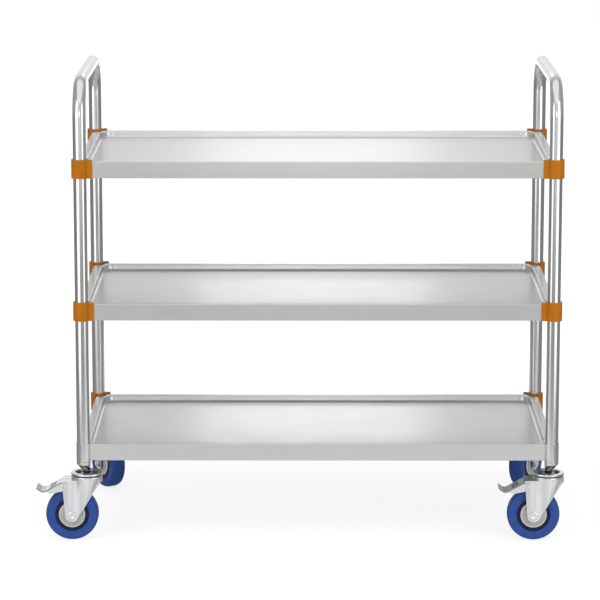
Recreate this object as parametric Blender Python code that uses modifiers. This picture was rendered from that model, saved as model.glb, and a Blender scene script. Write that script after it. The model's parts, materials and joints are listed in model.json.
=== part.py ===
"""Stainless steel serving trolley with three pressed decks, two end hoops and four swivel casters.

Metres, Z up. X runs along the trolley, Y from front to rear. The origin is on the floor, in the
middle of the trolley's box. Heights build up from the floor: wheel, fork, swivel head, leg socket,
tube, bottom deck, middle deck, top deck and push rail.
"""

import math

import bmesh
import bpy
from mathutils import Matrix, Vector

# Clearance between pieces that touch, and how far a cutter runs past what it cuts
FIT_GAP = 0.0003
OVERRUN = 0.002
WELD_DISTANCE = 0.000005

# End hoops
TUBE_RADIUS = 0.0125
TUBE_WALL = 0.0012
LEG_SPACING_LONG = 0.8892
LEG_SPACING_DEEP = 0.430
HOOP_BEND_RADIUS = 0.065
RAIL_RISE = 0.1581

# Decks
DECK_PITCH = 0.2707
DECK_OVERHANG = 0.0045
DECK_SHEET = 0.001
FIRST_DECK_RISE = 0.0022
LEDGE_WIDTH = 0.016
LEDGE_FILLET = 0.002
APRON_HEIGHT = 0.032
APRON_BEND = 0.0018
LIP_WIDTH = 0.010
RECESS_DEPTH = 0.0115
RECESS_DRAFT = 0.0017
RECESS_CORNER = 0.028
RECESS_FILLET = 0.004
OUTER_CORNER = 0.003

# Folded stiffener under each deck
STIFFENER_LENGTH = 0.620
STIFFENER_FLANGE = 0.016
STIFFENER_CHANNEL = 0.058
STIFFENER_FOOT = 0.046
STIFFENER_DEPTH = 0.013

# Orange corner brackets
BRACKET_WALL = 0.0032
BRACKET_STAND = 0.0035
BRACKET_FLAP = 0.003
BRACKET_REACH = 0.0237

# Steel sleeves at the front of the bottom deck
SLEEVE_WALL = 0.0007

# Leg sockets
SOCKET_COLLAR_RADIUS = 0.0134
SOCKET_COLLAR_HEIGHT = 0.0048
SOCKET_CONE_HEIGHT = 0.0128
SOCKET_TIP_WALL = 0.0012
SPIGOT_LENGTH = 0.030
CASTER_INSET = 0.0055

# Caster swivel head
STEM_RADIUS = 0.005
STEM_LENGTH = 0.0155
SOCKET_STANDOFF = 0.0024
HEAD_RADIUS = 0.030
HEAD_HEIGHT = 0.0037
HEAD_ROUND = 0.0015
HEAD_SHEET = 0.0014
DISH_RADIUS = 0.0214
SLOT_WIDTH = 0.0024
SLOT_INNER_RADIUS = 0.0115
SLOT_OUTER_RADIUS = 0.0188
KING_PIN_RADIUS = 0.007
KING_PIN_FLANGE = 0.004
KING_PIN_FLANGE_HEIGHT = 0.003
SEAL_HEIGHT = 0.0017
SEAL_INSET = 0.0015

# Caster fork
FORK_SHEET = 0.0025
FORK_HALF_WIDTH = 0.023
CROWN_RADIUS = 0.0295
CROWN_RISE = 0.007
CROWN_ROUND = 0.002
CROWN_SKIRT = 0.006
CROWN_FRONT_ANGLE = math.radians(30)
CHEEK_END_RADIUS = 0.0125
CHEEK_REAR_SLOPE = 0.005
CHEEK_TANGENT_ANGLE = math.radians(-31)
ROOF_CLEARANCE = 0.0155

# Wheel
WHEEL_RADIUS = 0.050
WHEEL_TRAIL = 0.028
RIM_RADIUS = 0.032
TYRE_HALF_WIDTH = 0.015
TREAD_HALF_WIDTH = 0.009
TYRE_SHOULDER = 0.003
RIM_DEPTH = 0.0085
RIM_INSET = 0.0012
WEB_HALF_WIDTH = 0.004
HUB_RADIUS = 0.009
HUB_HALF_LENGTH = 0.0185
GUARD_SHEET = 0.0012
GUARD_DISH = 0.0022
GUARD_OVERLAP = 0.0015

# Axle
AXLE_RADIUS = 0.004
AXLE_HEAD_RADIUS = 0.008
AXLE_HEAD_HEIGHT = 0.0035
AXLE_DIMPLE_RADIUS = 0.0045
AXLE_DIMPLE_DEPTH = 0.001
NUT_RADIUS = 0.0075
NUT_HEIGHT = 0.004

# Brake pedal, measured from its hinge pin
PEDAL_SHEET = 0.002
PEDAL_PIN_RADIUS = 0.0025
PEDAL_PIN_BACK = 0.010
PEDAL_PIN_DROP = 0.008
PEDAL_EAR_RADIUS = 0.006
PEDAL_KNEE_REACH = 0.0095
PEDAL_KNEE_RISE = 0.0071
PEDAL_PLATE_LENGTH = 0.0345
PEDAL_PLATE_ANGLE = math.radians(29)
PEDAL_CURL_RADIUS = 0.009
PEDAL_CURL_SWEEP = math.radians(99)
PEDAL_TIP_LENGTH = 0.010
FLANGE_HEEL_REACH = 0.008
FLANGE_HEEL_DROP = 0.011
FLANGE_TOE_REACH = 0.031
FLANGE_TOE_DROP = 0.0155
FLANGE_FRONT_REACH = 0.0375
FLANGE_FRONT_DROP = 0.0125
SHOE_REACH = 0.016
SHOE_DROP = 0.0103
SHOE_THICKNESS = 0.003
SHOE_HALF_WIDTH = 0.012
PEDAL_SLOT_LENGTH = 0.012
PEDAL_SLOT_WIDTH = 0.005
PEDAL_SIDE_SLOT_WIDTH = 0.0035
PEDAL_SIDE_SLOT_OUT = 0.0125

# How the casters stand: turn of each fork about its stem, in the order of CORNERS
CASTER_TURNS = (0.0, 0.0, math.radians(120), math.radians(60))

# Facet counts, and the angle from which an edge stays sharp
TUBE_SIDES = 16
BORE_SIDES = 12
HOOP_BEND_STEPS = 5
DECK_CORNER_STEPS = 3
BRACKET_SIDES = 16
LUG_STEPS = 2
HEAD_SIDES = 16
HEAD_SLOTS = 8
WHEEL_SIDES = 28
HUB_SIDES = 16
GUARD_SIDES = 14
SOCKET_SIDES = 12
PIN_SIDES = 10
NUT_SIDES = 6
CONE_STEPS = 4
ROOF_STEPS = 2
SKIRT_STEPS = 2
CHEEK_ARC_STEPS = 6
PEDAL_CURL_STEPS = 3
PEDAL_EAR_STEPS = 5
SHARP_ANGLE = math.radians(35)

# Corner names with the side of the trolley that each is on
CORNERS = (
    ("front_left", -1, -1),
    ("front_right", 1, -1),
    ("rear_left", -1, 1),
    ("rear_right", 1, 1),
)

# Plan sizes that follow from the driving ones
LEG_X = LEG_SPACING_LONG / 2
LEG_Y = LEG_SPACING_DEEP / 2
DECK_HALF_LENGTH = LEG_X + DECK_OVERHANG
DECK_HALF_DEPTH = LEG_Y + DECK_OVERHANG
TUBE_BORE_RADIUS = TUBE_RADIUS - TUBE_WALL
BRACKET_BORE = TUBE_RADIUS + FIT_GAP
BRACKET_RADIUS = BRACKET_BORE + BRACKET_WALL
SLEEVE_RADIUS = BRACKET_BORE + SLEEVE_WALL
SPIGOT_RADIUS = TUBE_BORE_RADIUS * math.cos(math.pi / BORE_SIDES) - FIT_GAP
SEAL_RADIUS = HEAD_RADIUS - SEAL_INSET
SEAL_BORE = DISH_RADIUS + HEAD_SHEET + FIT_GAP

# Heights, from the floor up
AXLE_Z = WHEEL_RADIUS
ROOF_UNDERSIDE_Z = AXLE_Z + WHEEL_RADIUS + ROOF_CLEARANCE
ROOF_Z = ROOF_UNDERSIDE_Z + FORK_SHEET
CROWN_Z = ROOF_Z + CROWN_RISE
DISH_UNDERSIDE_Z = CROWN_Z + FIT_GAP
DISH_Z = DISH_UNDERSIDE_Z + HEAD_SHEET
HEAD_UNDERSIDE_Z = DISH_UNDERSIDE_Z + SEAL_HEIGHT + FIT_GAP
HEAD_TOP_Z = HEAD_UNDERSIDE_Z + HEAD_HEIGHT
SOCKET_TIP_Z = HEAD_TOP_Z + SOCKET_STANDOFF
COLLAR_FOOT_Z = SOCKET_TIP_Z + SOCKET_CONE_HEIGHT
COLLAR_TOP_Z = COLLAR_FOOT_Z + SOCKET_COLLAR_HEIGHT
STEM_TOP_Z = SOCKET_TIP_Z + STEM_LENGTH
TUBE_FOOT_Z = COLLAR_TOP_Z + FIT_GAP
BOTTOM_LEDGE_Z = TUBE_FOOT_Z + FIRST_DECK_RISE + APRON_HEIGHT
MIDDLE_LEDGE_Z = BOTTOM_LEDGE_Z + DECK_PITCH
TOP_LEDGE_Z = MIDDLE_LEDGE_Z + DECK_PITCH
RAIL_Z = TOP_LEDGE_Z + RAIL_RISE - TUBE_RADIUS
LEVELS = (("top", TOP_LEDGE_Z), ("middle", MIDDLE_LEDGE_Z), ("bottom", BOTTOM_LEDGE_Z))

# Caster places that follow, in a frame with the stem as its Z axis and the wheel towards -X
FORK_INSIDE = FORK_HALF_WIDTH - FORK_SHEET
CHEEK_REAR_X = -WHEEL_TRAIL - CHEEK_END_RADIUS - CHEEK_REAR_SLOPE
PEDAL_PIN_X = -WHEEL_TRAIL - PEDAL_PIN_BACK
PEDAL_PIN_Z = ROOF_UNDERSIDE_Z - PEDAL_PIN_DROP
PEDAL_HALF_WIDTH = FORK_INSIDE - FIT_GAP
PEDAL_TIP_ANGLE = PEDAL_CURL_SWEEP - PEDAL_PLATE_ANGLE
PEDAL_TIP_REACH = (
    PEDAL_KNEE_REACH
    + PEDAL_PLATE_LENGTH * math.cos(PEDAL_PLATE_ANGLE)
    + PEDAL_CURL_RADIUS * (math.sin(PEDAL_PLATE_ANGLE) + math.sin(PEDAL_TIP_ANGLE))
    + PEDAL_TIP_LENGTH * math.cos(PEDAL_TIP_ANGLE)
    + PEDAL_SHEET * math.sin(PEDAL_TIP_ANGLE)
)

# The box runs from the left pedal's tip to the right caster head, so its middle is off the frame's
LEFT_END = LEG_X - CASTER_INSET - PEDAL_PIN_X + PEDAL_TIP_REACH
RIGHT_END = LEG_X - CASTER_INSET + HEAD_RADIUS
FRAME_X = (LEFT_END - RIGHT_END) / 2


def clear_scene():
    for item in list(bpy.data.objects):
        bpy.data.objects.remove(item, do_unlink=True)


def new_collection(name):
    collection = bpy.data.collections.new(name)
    bpy.context.scene.collection.children.link(collection)
    return collection


def new_material(name, colour, roughness, metallic):
    material = bpy.data.materials.new(name)
    material.use_nodes = True
    shader = material.node_tree.nodes["Principled BSDF"]
    shader.inputs["Base Color"].default_value = (*colour, 1.0)
    shader.inputs["Roughness"].default_value = roughness
    shader.inputs["Metallic"].default_value = metallic
    material.diffuse_color = (*colour, 1.0)
    return material


def brushed_steel():
    return new_material("brushed_stainless_steel", (0.60, 0.60, 0.58), 0.34, 1.0)


def polished_steel():
    return new_material("polished_stainless_tube", (0.66, 0.66, 0.65), 0.18, 1.0)


def zinc_steel():
    return new_material("zinc_plated_steel", (0.70, 0.71, 0.72), 0.30, 1.0)


def orange_plastic():
    return new_material("orange_plastic", (0.48, 0.17, 0.008), 0.45, 0.0)


def blue_rubber():
    return new_material("blue_rubber", (0.025, 0.075, 0.30), 0.50, 0.0)


def navy_plastic():
    return new_material("navy_plastic", (0.008, 0.014, 0.045), 0.45, 0.0)


def grey_plastic():
    return new_material("grey_plastic", (0.42, 0.42, 0.42), 0.50, 0.0)


def black_rubber():
    return new_material("black_rubber", (0.012, 0.013, 0.020), 0.60, 0.0)


def object_from(mesh, name, collection):
    item = bpy.data.objects.new(name, mesh)
    collection.objects.link(item)
    return item


def settled_mesh(item, name):
    """The mesh that an object's modifiers leave, welded; the object itself is removed."""
    bpy.context.view_layer.update()
    graph = bpy.context.evaluated_depsgraph_get()
    mesh = bpy.data.meshes.new_from_object(item.evaluated_get(graph))
    mesh.transform(item.matrix_world)
    mesh.name = name
    work = bmesh.new()
    work.from_mesh(mesh)
    bmesh.ops.remove_doubles(work, verts=work.verts, dist=WELD_DISTANCE)
    work.to_mesh(mesh)
    work.free()
    bpy.data.objects.remove(item, do_unlink=True)
    return mesh


def turned(name, profile, sides, ring=False):
    """A mesh turned about Z from (radius, height) points that run down the outer side."""
    edges = [(i, i + 1) for i in range(len(profile) - 1)]
    if ring:
        edges.append((len(profile) - 1, 0))
    mesh = bpy.data.meshes.new(name)
    mesh.from_pydata([(radius, 0, height) for radius, height in profile], edges, [])
    item = object_from(mesh, name, helpers)
    screw = item.modifiers.new("turn", "SCREW")
    screw.angle = math.tau
    screw.steps = sides
    screw.render_steps = sides
    screw.use_merge_vertices = True
    screw.merge_threshold = WELD_DISTANCE
    return settled_mesh(item, name)


def cylinder(name, radius, low, high, sides, place=(0, 0)):
    """A closed cylinder along Z between two heights."""
    mesh = bpy.data.meshes.new(name)
    work = bmesh.new()
    middle = Matrix.Translation((place[0], place[1], (low + high) / 2))
    bmesh.ops.create_cone(
        work, cap_ends=True, segments=sides, radius1=radius, radius2=radius, depth=high - low, matrix=middle
    )
    work.to_mesh(mesh)
    work.free()
    return mesh


def block(name, low, high):
    """A box between two opposite corners."""
    mesh = bpy.data.meshes.new(name)
    work = bmesh.new()
    size = Vector(high) - Vector(low)
    middle = (Vector(high) + Vector(low)) / 2
    bmesh.ops.create_cube(work, size=1, matrix=Matrix.Translation(middle) @ Matrix.Diagonal((*size, 1)))
    work.to_mesh(mesh)
    work.free()
    return mesh


def prism(name, outlines, low, high):
    """Flat outlines, the first with the others as holes, given thickness between two heights."""
    curve = bpy.data.curves.new(name, "CURVE")
    curve.dimensions = "2D"
    curve.fill_mode = "BOTH"
    curve.extrude = (high - low) / 2
    for outline in outlines:
        spline = curve.splines.new("POLY")
        spline.points.add(len(outline) - 1)
        for point, (x, y) in zip(spline.points, outline):
            point.co = (x, y, 0, 1)
        spline.use_cyclic_u = True
    item = object_from(curve, name, helpers)
    item.location.z = (low + high) / 2
    return settled_mesh(item, name)


def side_prism(name, outline, half_width):
    """An outline in X and Z given thickness both ways along Y."""
    mesh = prism(name, [outline], -half_width, half_width)
    mesh.transform(Matrix.Rotation(math.pi / 2, 4, "X"))
    return mesh


def along_y(mesh):
    """Turns a mesh made about Z so that its axis lies along Y and its top faces -Y."""
    mesh.transform(Matrix.Rotation(math.pi / 2, 4, "X"))
    return mesh


def moved(mesh, place):
    mesh.transform(Matrix.Translation(place))
    return mesh


def joined(name, mesh, steps):
    """One mesh after a row of Booleans, each given as (operation, mesh)."""
    item = object_from(mesh, name, helpers)
    others = []
    for operation, other in steps:
        helper = object_from(other, name + "_" + operation.lower(), helpers)
        helper.hide_render = True
        helper.display_type = "WIRE"
        modifier = item.modifiers.new(helper.name, "BOOLEAN")
        modifier.operation = operation
        modifier.object = helper
        others.append(helper)
    mesh = settled_mesh(item, name)
    for helper in others:
        bpy.data.objects.remove(helper, do_unlink=True)
    return mesh


def arc(centre, radius, start, end, steps):
    """Points of an arc in plan, both ends included."""
    turns = [start + (end - start) * i / steps for i in range(steps + 1)]
    return [(centre[0] + radius * math.cos(a), centre[1] + radius * math.sin(a)) for a in turns]


def place_piece(name, mesh, material, place=(0, 0, 0), turn=0.0, parent=None):
    """Puts a piece in the trolley, and gives it its finish and its smooth shading."""
    if not mesh.materials:
        mesh.materials.append(material)
        mesh.shade_smooth()
        mesh.set_sharp_from_angle(angle=SHARP_ANGLE)
    item = object_from(mesh, name, trolley)
    item.location = place
    item.rotation_euler.z = turn
    item.parent = parent
    return item


def new_empty(name, place, turn=0.0, parent=None):
    item = object_from(None, name, trolley)
    item.empty_display_size = TUBE_RADIUS
    item.location = place
    item.rotation_euler.z = turn
    item.parent = parent
    return item


# End hoops
def hoop_path(foot):
    """The hoop's centre line: up the front leg, over the rail and down the rear leg."""
    bend_y = LEG_Y - HOOP_BEND_RADIUS
    bend_z = RAIL_Z - HOOP_BEND_RADIUS
    front = arc((-bend_y, bend_z), HOOP_BEND_RADIUS, math.pi, math.pi / 2, HOOP_BEND_STEPS)
    rear = arc((bend_y, bend_z), HOOP_BEND_RADIUS, math.pi / 2, 0, HOOP_BEND_STEPS)
    return [(-LEG_Y, foot), *front, *rear, (LEG_Y, foot)]


def tube_mesh(name, path, radius, sides):
    curve = bpy.data.curves.new(name, "CURVE")
    curve.dimensions = "3D"
    curve.bevel_depth = radius
    curve.bevel_resolution = (sides - 4) // 2
    curve.use_fill_caps = True
    spline = curve.splines.new("POLY")
    spline.points.add(len(path) - 1)
    for point, (y, z) in zip(spline.points, path):
        point.co = (0, y, z, 1)
    return settled_mesh(object_from(curve, name, helpers), name)


def hoop_mesh():
    outside = tube_mesh("hoop_outside", hoop_path(TUBE_FOOT_Z), TUBE_RADIUS, TUBE_SIDES)
    bore_path = hoop_path(TUBE_FOOT_Z - OVERRUN)
    bore = tube_mesh("hoop_bore", bore_path, TUBE_BORE_RADIUS, BORE_SIDES)
    return joined("end_hoop", outside, [("DIFFERENCE", bore)])


def build_hoops(steel):
    mesh = hoop_mesh()
    for name, side in (("left_end_hoop", -1), ("right_end_hoop", 1)):
        place_piece(name, mesh, steel, (FRAME_X + side * LEG_X, 0, 0))


# Decks
def deck_section():
    """The pressed sheet's outer side from floor to lip, as (distance in from the apron, height)."""
    slant = math.sqrt(0.5)
    wall_foot = LEDGE_WIDTH + RECESS_DRAFT
    return [
        (wall_foot + RECESS_FILLET, -RECESS_DEPTH),
        (wall_foot + RECESS_FILLET * (1 - slant), -RECESS_DEPTH + RECESS_FILLET * (1 - slant)),
        (LEDGE_WIDTH, -LEDGE_FILLET),
        (LEDGE_WIDTH - LEDGE_FILLET, 0),
        (APRON_BEND, 0),
        (APRON_BEND * (1 - slant), -APRON_BEND * (1 - slant)),
        (0, -APRON_BEND),
        (0, -APRON_HEIGHT),
        (LIP_WIDTH, -APRON_HEIGHT),
    ]


def deck_ring(inset, height):
    """A rounded rectangle of the deck at one distance in from the apron."""
    corner = RECESS_CORNER + LEDGE_WIDTH - inset
    if inset < LEDGE_WIDTH - LEDGE_FILLET or height == -APRON_HEIGHT:
        corner = max(OUTER_CORNER - inset, DECK_SHEET)
    x = DECK_HALF_LENGTH - inset - corner
    y = DECK_HALF_DEPTH - inset - corner
    ring = []
    for i, (side_x, side_y) in enumerate(((1, 1), (-1, 1), (-1, -1), (1, -1))):
        start = i * math.pi / 2
        ring += arc((side_x * x, side_y * y), corner, start, start + math.pi / 2, DECK_CORNER_STEPS)
    return [(px, py, height) for px, py in ring]


def deck_skin():
    """The deck's outer side as an open surface, lofted from ring to ring."""
    rings = [deck_ring(inset, height) for inset, height in deck_section()]
    count = len(rings[0])
    faces = [tuple(range(count))]
    for level in range(len(rings) - 1):
        for i in range(count):
            j = (i + 1) % count
            inner, outer = level * count, (level + 1) * count
            faces.append((inner + i, outer + i, outer + j, inner + j))
    mesh = bpy.data.meshes.new("deck_skin")
    mesh.from_pydata([point for ring in rings for point in ring], [], faces)
    return mesh


def deck_mesh(name, notch_radii):
    """A deck of sheet metal with a round notch for each leg, in the order of CORNERS."""
    item = object_from(deck_skin(), name, helpers)
    wall = item.modifiers.new("sheet", "SOLIDIFY")
    wall.thickness = DECK_SHEET
    wall.offset = -1
    wall.use_even_offset = True
    notches = []
    for (corner, side_x, side_y), radius in zip(CORNERS, notch_radii):
        place = (side_x * LEG_X, side_y * LEG_Y)
        notch = cylinder(corner, radius, -APRON_HEIGHT - OVERRUN, OVERRUN, BRACKET_SIDES, place)
        notches.append(("DIFFERENCE", notch))
    return joined(name, settled_mesh(item, name), notches)


def build_decks(steel):
    bracket_notch = BRACKET_RADIUS + FIT_GAP
    sleeve_notch = SLEEVE_RADIUS + FIT_GAP
    upper = deck_mesh("upper_deck", [bracket_notch] * len(CORNERS))
    lower = deck_mesh("lower_deck", [sleeve_notch, sleeve_notch, bracket_notch, bracket_notch])
    for level, ledge in LEVELS:
        mesh = lower if level == "bottom" else upper
        place_piece(level + "_deck", mesh, steel, (FRAME_X, 0, ledge))


def stiffener_mesh():
    """A hat section of folded sheet that lies along the underside of a deck's floor."""
    top = [
        (STIFFENER_CHANNEL / 2 + STIFFENER_FLANGE, 0),
        (STIFFENER_CHANNEL / 2, 0),
        (STIFFENER_FOOT / 2, -STIFFENER_DEPTH + DECK_SHEET),
    ]
    under = [
        (STIFFENER_FOOT / 2 + DECK_SHEET, -STIFFENER_DEPTH),
        (STIFFENER_CHANNEL / 2 + DECK_SHEET, -DECK_SHEET),
        (STIFFENER_CHANNEL / 2 + STIFFENER_FLANGE, -DECK_SHEET),
    ]
    outline = top + [(-y, z) for y, z in reversed(top)] + [(-y, z) for y, z in reversed(under)] + under
    mesh = prism("stiffener", [outline], -STIFFENER_LENGTH / 2, STIFFENER_LENGTH / 2)
    mesh.transform(Matrix.Rotation(math.pi / 2, 4, "X"))
    mesh.transform(Matrix.Rotation(math.pi / 2, 4, "Z"))
    return mesh


def build_stiffeners(steel):
    mesh = stiffener_mesh()
    seat = -RECESS_DEPTH - DECK_SHEET - FIT_GAP
    for level, ledge in LEVELS:
        place_piece(level + "_deck_stiffener", mesh, steel, (FRAME_X, 0, ledge + seat))


# Corner brackets and sleeves
def bracket_mesh():
    """The front left bracket about its leg: ring, two flaps outside the aprons, lug under the ledge."""
    foot = -APRON_HEIGHT
    ring = cylinder("ring", BRACKET_RADIUS, foot, BRACKET_STAND, BRACKET_SIDES)
    inner = -DECK_OVERHANG - FIT_GAP
    outer = inner - BRACKET_FLAP
    front_flap = block("front_flap", (0, outer, foot), (BRACKET_REACH, inner, BRACKET_STAND))
    side_flap = block("side_flap", (outer, 0, foot), (inner, BRACKET_REACH, BRACKET_STAND))
    lug_edge = -DECK_OVERHANG + DECK_SHEET + FIT_GAP
    skew = math.asin(lug_edge / BRACKET_REACH)
    rim = arc((0, 0), BRACKET_REACH, skew, math.pi / 2 - skew, LUG_STEPS)
    lug_foot = foot + DECK_SHEET + FIT_GAP
    lug_top = -DECK_SHEET - FIT_GAP
    lug = prism("lug", [[(lug_edge, lug_edge), *rim]], lug_foot, lug_top)
    bore = cylinder("bore", BRACKET_BORE, foot - OVERRUN, BRACKET_STAND + OVERRUN, BRACKET_SIDES)
    parts = [("UNION", front_flap), ("UNION", side_flap), ("UNION", lug), ("DIFFERENCE", bore)]
    return joined("corner_bracket", ring, parts)


def leg_turn(side_x, side_y):
    """The turn that brings a piece made for the front left leg round to another leg."""
    return math.atan2(-side_y, -side_x) - math.pi / 4


def build_brackets(plastic):
    mesh = bracket_mesh()
    for level, ledge in LEVELS:
        for corner, side_x, side_y in CORNERS:
            if level == "bottom" and side_y < 0:
                continue
            place = (FRAME_X + side_x * LEG_X, side_y * LEG_Y, ledge)
            place_piece(f"{level}_{corner}_bracket", mesh, plastic, place, leg_turn(side_x, side_y))


def build_sleeves(steel):
    profile = [
        (SLEEVE_RADIUS, BOTTOM_LEDGE_Z + BRACKET_STAND / 2),
        (SLEEVE_RADIUS, TUBE_FOOT_Z),
        (BRACKET_BORE, TUBE_FOOT_Z),
        (BRACKET_BORE, BOTTOM_LEDGE_Z + BRACKET_STAND / 2),
    ]
    mesh = turned("corner_sleeve", profile, BRACKET_SIDES, ring=True)
    for corner, side_x, side_y in CORNERS[:2]:
        place = (FRAME_X + side_x * LEG_X, side_y * LEG_Y, 0)
        place_piece(f"bottom_{corner}_sleeve", mesh, steel, place)


# Leg sockets
def socket_mesh():
    """Spigot, collar and a cone that leans inboard to the caster stem, which it takes in a blind bore."""
    tip_radius = STEM_RADIUS + FIT_GAP + SOCKET_TIP_WALL
    profile = [
        (0, COLLAR_TOP_Z + SPIGOT_LENGTH),
        (SPIGOT_RADIUS, COLLAR_TOP_Z + SPIGOT_LENGTH),
        (SPIGOT_RADIUS, COLLAR_TOP_Z),
        (SOCKET_COLLAR_RADIUS, COLLAR_TOP_Z),
        (SOCKET_COLLAR_RADIUS, COLLAR_FOOT_Z),
        (tip_radius, SOCKET_TIP_Z),
        (0, SOCKET_TIP_Z),
    ]
    mesh = turned("leg_socket", profile, SOCKET_SIDES)
    halfway = (SOCKET_TIP_Z + COLLAR_FOOT_Z) / 2
    for vertex in mesh.vertices:
        if vertex.co.z < halfway:
            vertex.co.x += CASTER_INSET
    bore_radius = STEM_RADIUS + FIT_GAP
    bore_place = (CASTER_INSET, 0)
    bore_top = STEM_TOP_Z + FIT_GAP
    bore = cylinder("stem_bore", bore_radius, SOCKET_TIP_Z - OVERRUN, bore_top, PIN_SIDES, bore_place)
    return joined("leg_socket", mesh, [("DIFFERENCE", bore)])


def build_sockets(steel):
    mesh = socket_mesh()
    for corner, side_x, side_y in CORNERS:
        place = (FRAME_X + side_x * LEG_X, side_y * LEG_Y, 0)
        place_piece(corner + "_leg_socket", mesh, steel, place, 0 if side_x < 0 else math.pi)


# Caster heads and seals
def head_mesh():
    """The fixed half of the swivel: stem, dished top, and a king pin with its flange in the crown."""
    flange_top = CROWN_Z - FORK_SHEET - FIT_GAP
    profile = [
        (0, STEM_TOP_Z),
        (STEM_RADIUS, STEM_TOP_Z),
        (STEM_RADIUS, DISH_Z),
        (DISH_RADIUS, DISH_Z),
        (DISH_RADIUS, HEAD_TOP_Z),
        (HEAD_RADIUS - HEAD_ROUND, HEAD_TOP_Z),
        (HEAD_RADIUS, HEAD_TOP_Z - HEAD_ROUND),
        (HEAD_RADIUS, HEAD_UNDERSIDE_Z),
        (SEAL_BORE - FIT_GAP, HEAD_UNDERSIDE_Z),
        (SEAL_BORE - FIT_GAP, DISH_UNDERSIDE_Z),
        (KING_PIN_RADIUS, DISH_UNDERSIDE_Z),
        (KING_PIN_RADIUS, flange_top),
        (KING_PIN_RADIUS + KING_PIN_FLANGE, flange_top),
        (KING_PIN_RADIUS + KING_PIN_FLANGE, flange_top - KING_PIN_FLANGE_HEIGHT),
        (0, flange_top - KING_PIN_FLANGE_HEIGHT),
    ]
    mesh = turned("caster_head", profile, HEAD_SIDES)
    cuts = []
    for i in range(HEAD_SLOTS):
        low = (SLOT_INNER_RADIUS, -SLOT_WIDTH / 2, DISH_UNDERSIDE_Z - OVERRUN / 2)
        high = (SLOT_OUTER_RADIUS, SLOT_WIDTH / 2, DISH_Z + OVERRUN / 2)
        slot = block("slot", low, high)
        slot.transform(Matrix.Rotation(math.tau * (i + 0.5) / HEAD_SLOTS, 4, "Z"))
        cuts.append(("DIFFERENCE", slot))
    return joined("caster_head", mesh, cuts)


def seal_mesh():
    low = CROWN_Z + FIT_GAP
    high = HEAD_UNDERSIDE_Z - FIT_GAP
    profile = [(SEAL_RADIUS, high), (SEAL_RADIUS, low), (SEAL_BORE, low), (SEAL_BORE, high)]
    return turned("swivel_seal", profile, HEAD_SIDES, ring=True)


# Fork
def fork_half_skin():
    """One half of the pressed fork's outer side: crown, roof, flat cheek, and the cone between them."""
    points, faces = [], []

    def add(x, y, z):
        points.append((x, y, z))
        return len(points) - 1

    crease = math.pi - math.asin(FORK_HALF_WIDTH / CROWN_RADIUS)
    skirt = [CROWN_FRONT_ANGLE * i / SKIRT_STEPS for i in range(SKIRT_STEPS)]
    cone = [CROWN_FRONT_ANGLE + (crease - CROWN_FRONT_ANGLE) * i / CONE_STEPS for i in range(CONE_STEPS)]
    rear = [crease + (math.pi - crease) * i / ROOF_STEPS for i in range(ROOF_STEPS + 1)]
    angles = skirt + cone + rear

    def crown_row(radius, z):
        return [add(radius * math.cos(a), radius * math.sin(a), z) for a in angles]

    def strip(upper, lower):
        for i in range(len(upper) - 1):
            faces.append((upper[i], lower[i], lower[i + 1], upper[i + 1]))

    pin_hole = crown_row(KING_PIN_RADIUS + FIT_GAP, CROWN_Z)
    crown_edge = crown_row(CROWN_RADIUS - CROWN_ROUND, CROWN_Z)
    crown_side = crown_row(CROWN_RADIUS, CROWN_Z - CROWN_ROUND)
    crown_foot = crown_row(CROWN_RADIUS, ROOF_Z)
    strip(pin_hole, crown_edge)
    strip(crown_edge, crown_side)
    strip(crown_side, crown_foot)

    first_cone = len(skirt)
    first_rear = first_cone + len(cone)
    skirt_top = crown_foot[: first_cone + 1]
    skirt_foot = [add(points[i][0], points[i][1], ROOF_Z - CROWN_SKIRT) for i in skirt_top]
    strip(skirt_top, skirt_foot)

    cheek_end = arc(
        (-WHEEL_TRAIL, AXLE_Z), CHEEK_END_RADIUS, -math.pi, CHEEK_TANGENT_ANGLE, CHEEK_ARC_STEPS
    )
    end = [add(x, FORK_HALF_WIDTH, z) for x, z in cheek_end]
    apex = end[-1]
    cone_rim = [skirt_foot[-1], *crown_foot[first_cone : first_rear + 1]]
    faces.append((cone_rim[0], apex, cone_rim[2], cone_rim[1]))
    for i in range(2, len(cone_rim) - 1):
        faces.append((cone_rim[i], apex, cone_rim[i + 1]))

    roof_side = add(CHEEK_REAR_X, FORK_HALF_WIDTH, ROOF_Z)
    roof_middle = add(CHEEK_REAR_X, 0, ROOF_Z)
    fold = add(points[end[-3]][0], FORK_HALF_WIDTH, ROOF_Z)
    faces.append((*crown_foot[first_rear:][::-1], fold, roof_side, roof_middle))
    faces.append((crown_foot[first_rear], apex, end[-2], end[-3], fold))
    faces.append((fold, *end[-3::-1], roof_side))
    mesh = bpy.data.meshes.new("fork_half")
    mesh.from_pydata(points, [], faces)
    return mesh


def fork_mesh(has_pedal):
    item = object_from(fork_half_skin(), "fork", helpers)
    mirror = item.modifiers.new("other_side", "MIRROR")
    mirror.use_axis = (False, True, False)
    mirror.merge_threshold = WELD_DISTANCE
    wall = item.modifiers.new("sheet", "SOLIDIFY")
    wall.thickness = FORK_SHEET
    wall.offset = -1
    wall.use_even_offset = True
    mesh = settled_mesh(item, "fork")
    reach = FORK_HALF_WIDTH + OVERRUN
    bore = along_y(cylinder("axle_bore", AXLE_RADIUS + FIT_GAP, -reach, reach, PIN_SIDES))
    cuts = [("DIFFERENCE", moved(bore, (-WHEEL_TRAIL, 0, AXLE_Z)))]
    if has_pedal:
        hole = along_y(cylinder("pedal_pin_bore", PEDAL_PIN_RADIUS + FIT_GAP, -reach, reach, PIN_SIDES))
        cuts.append(("DIFFERENCE", moved(hole, (PEDAL_PIN_X, 0, PEDAL_PIN_Z))))
    return joined("fork", mesh, cuts)


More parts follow.
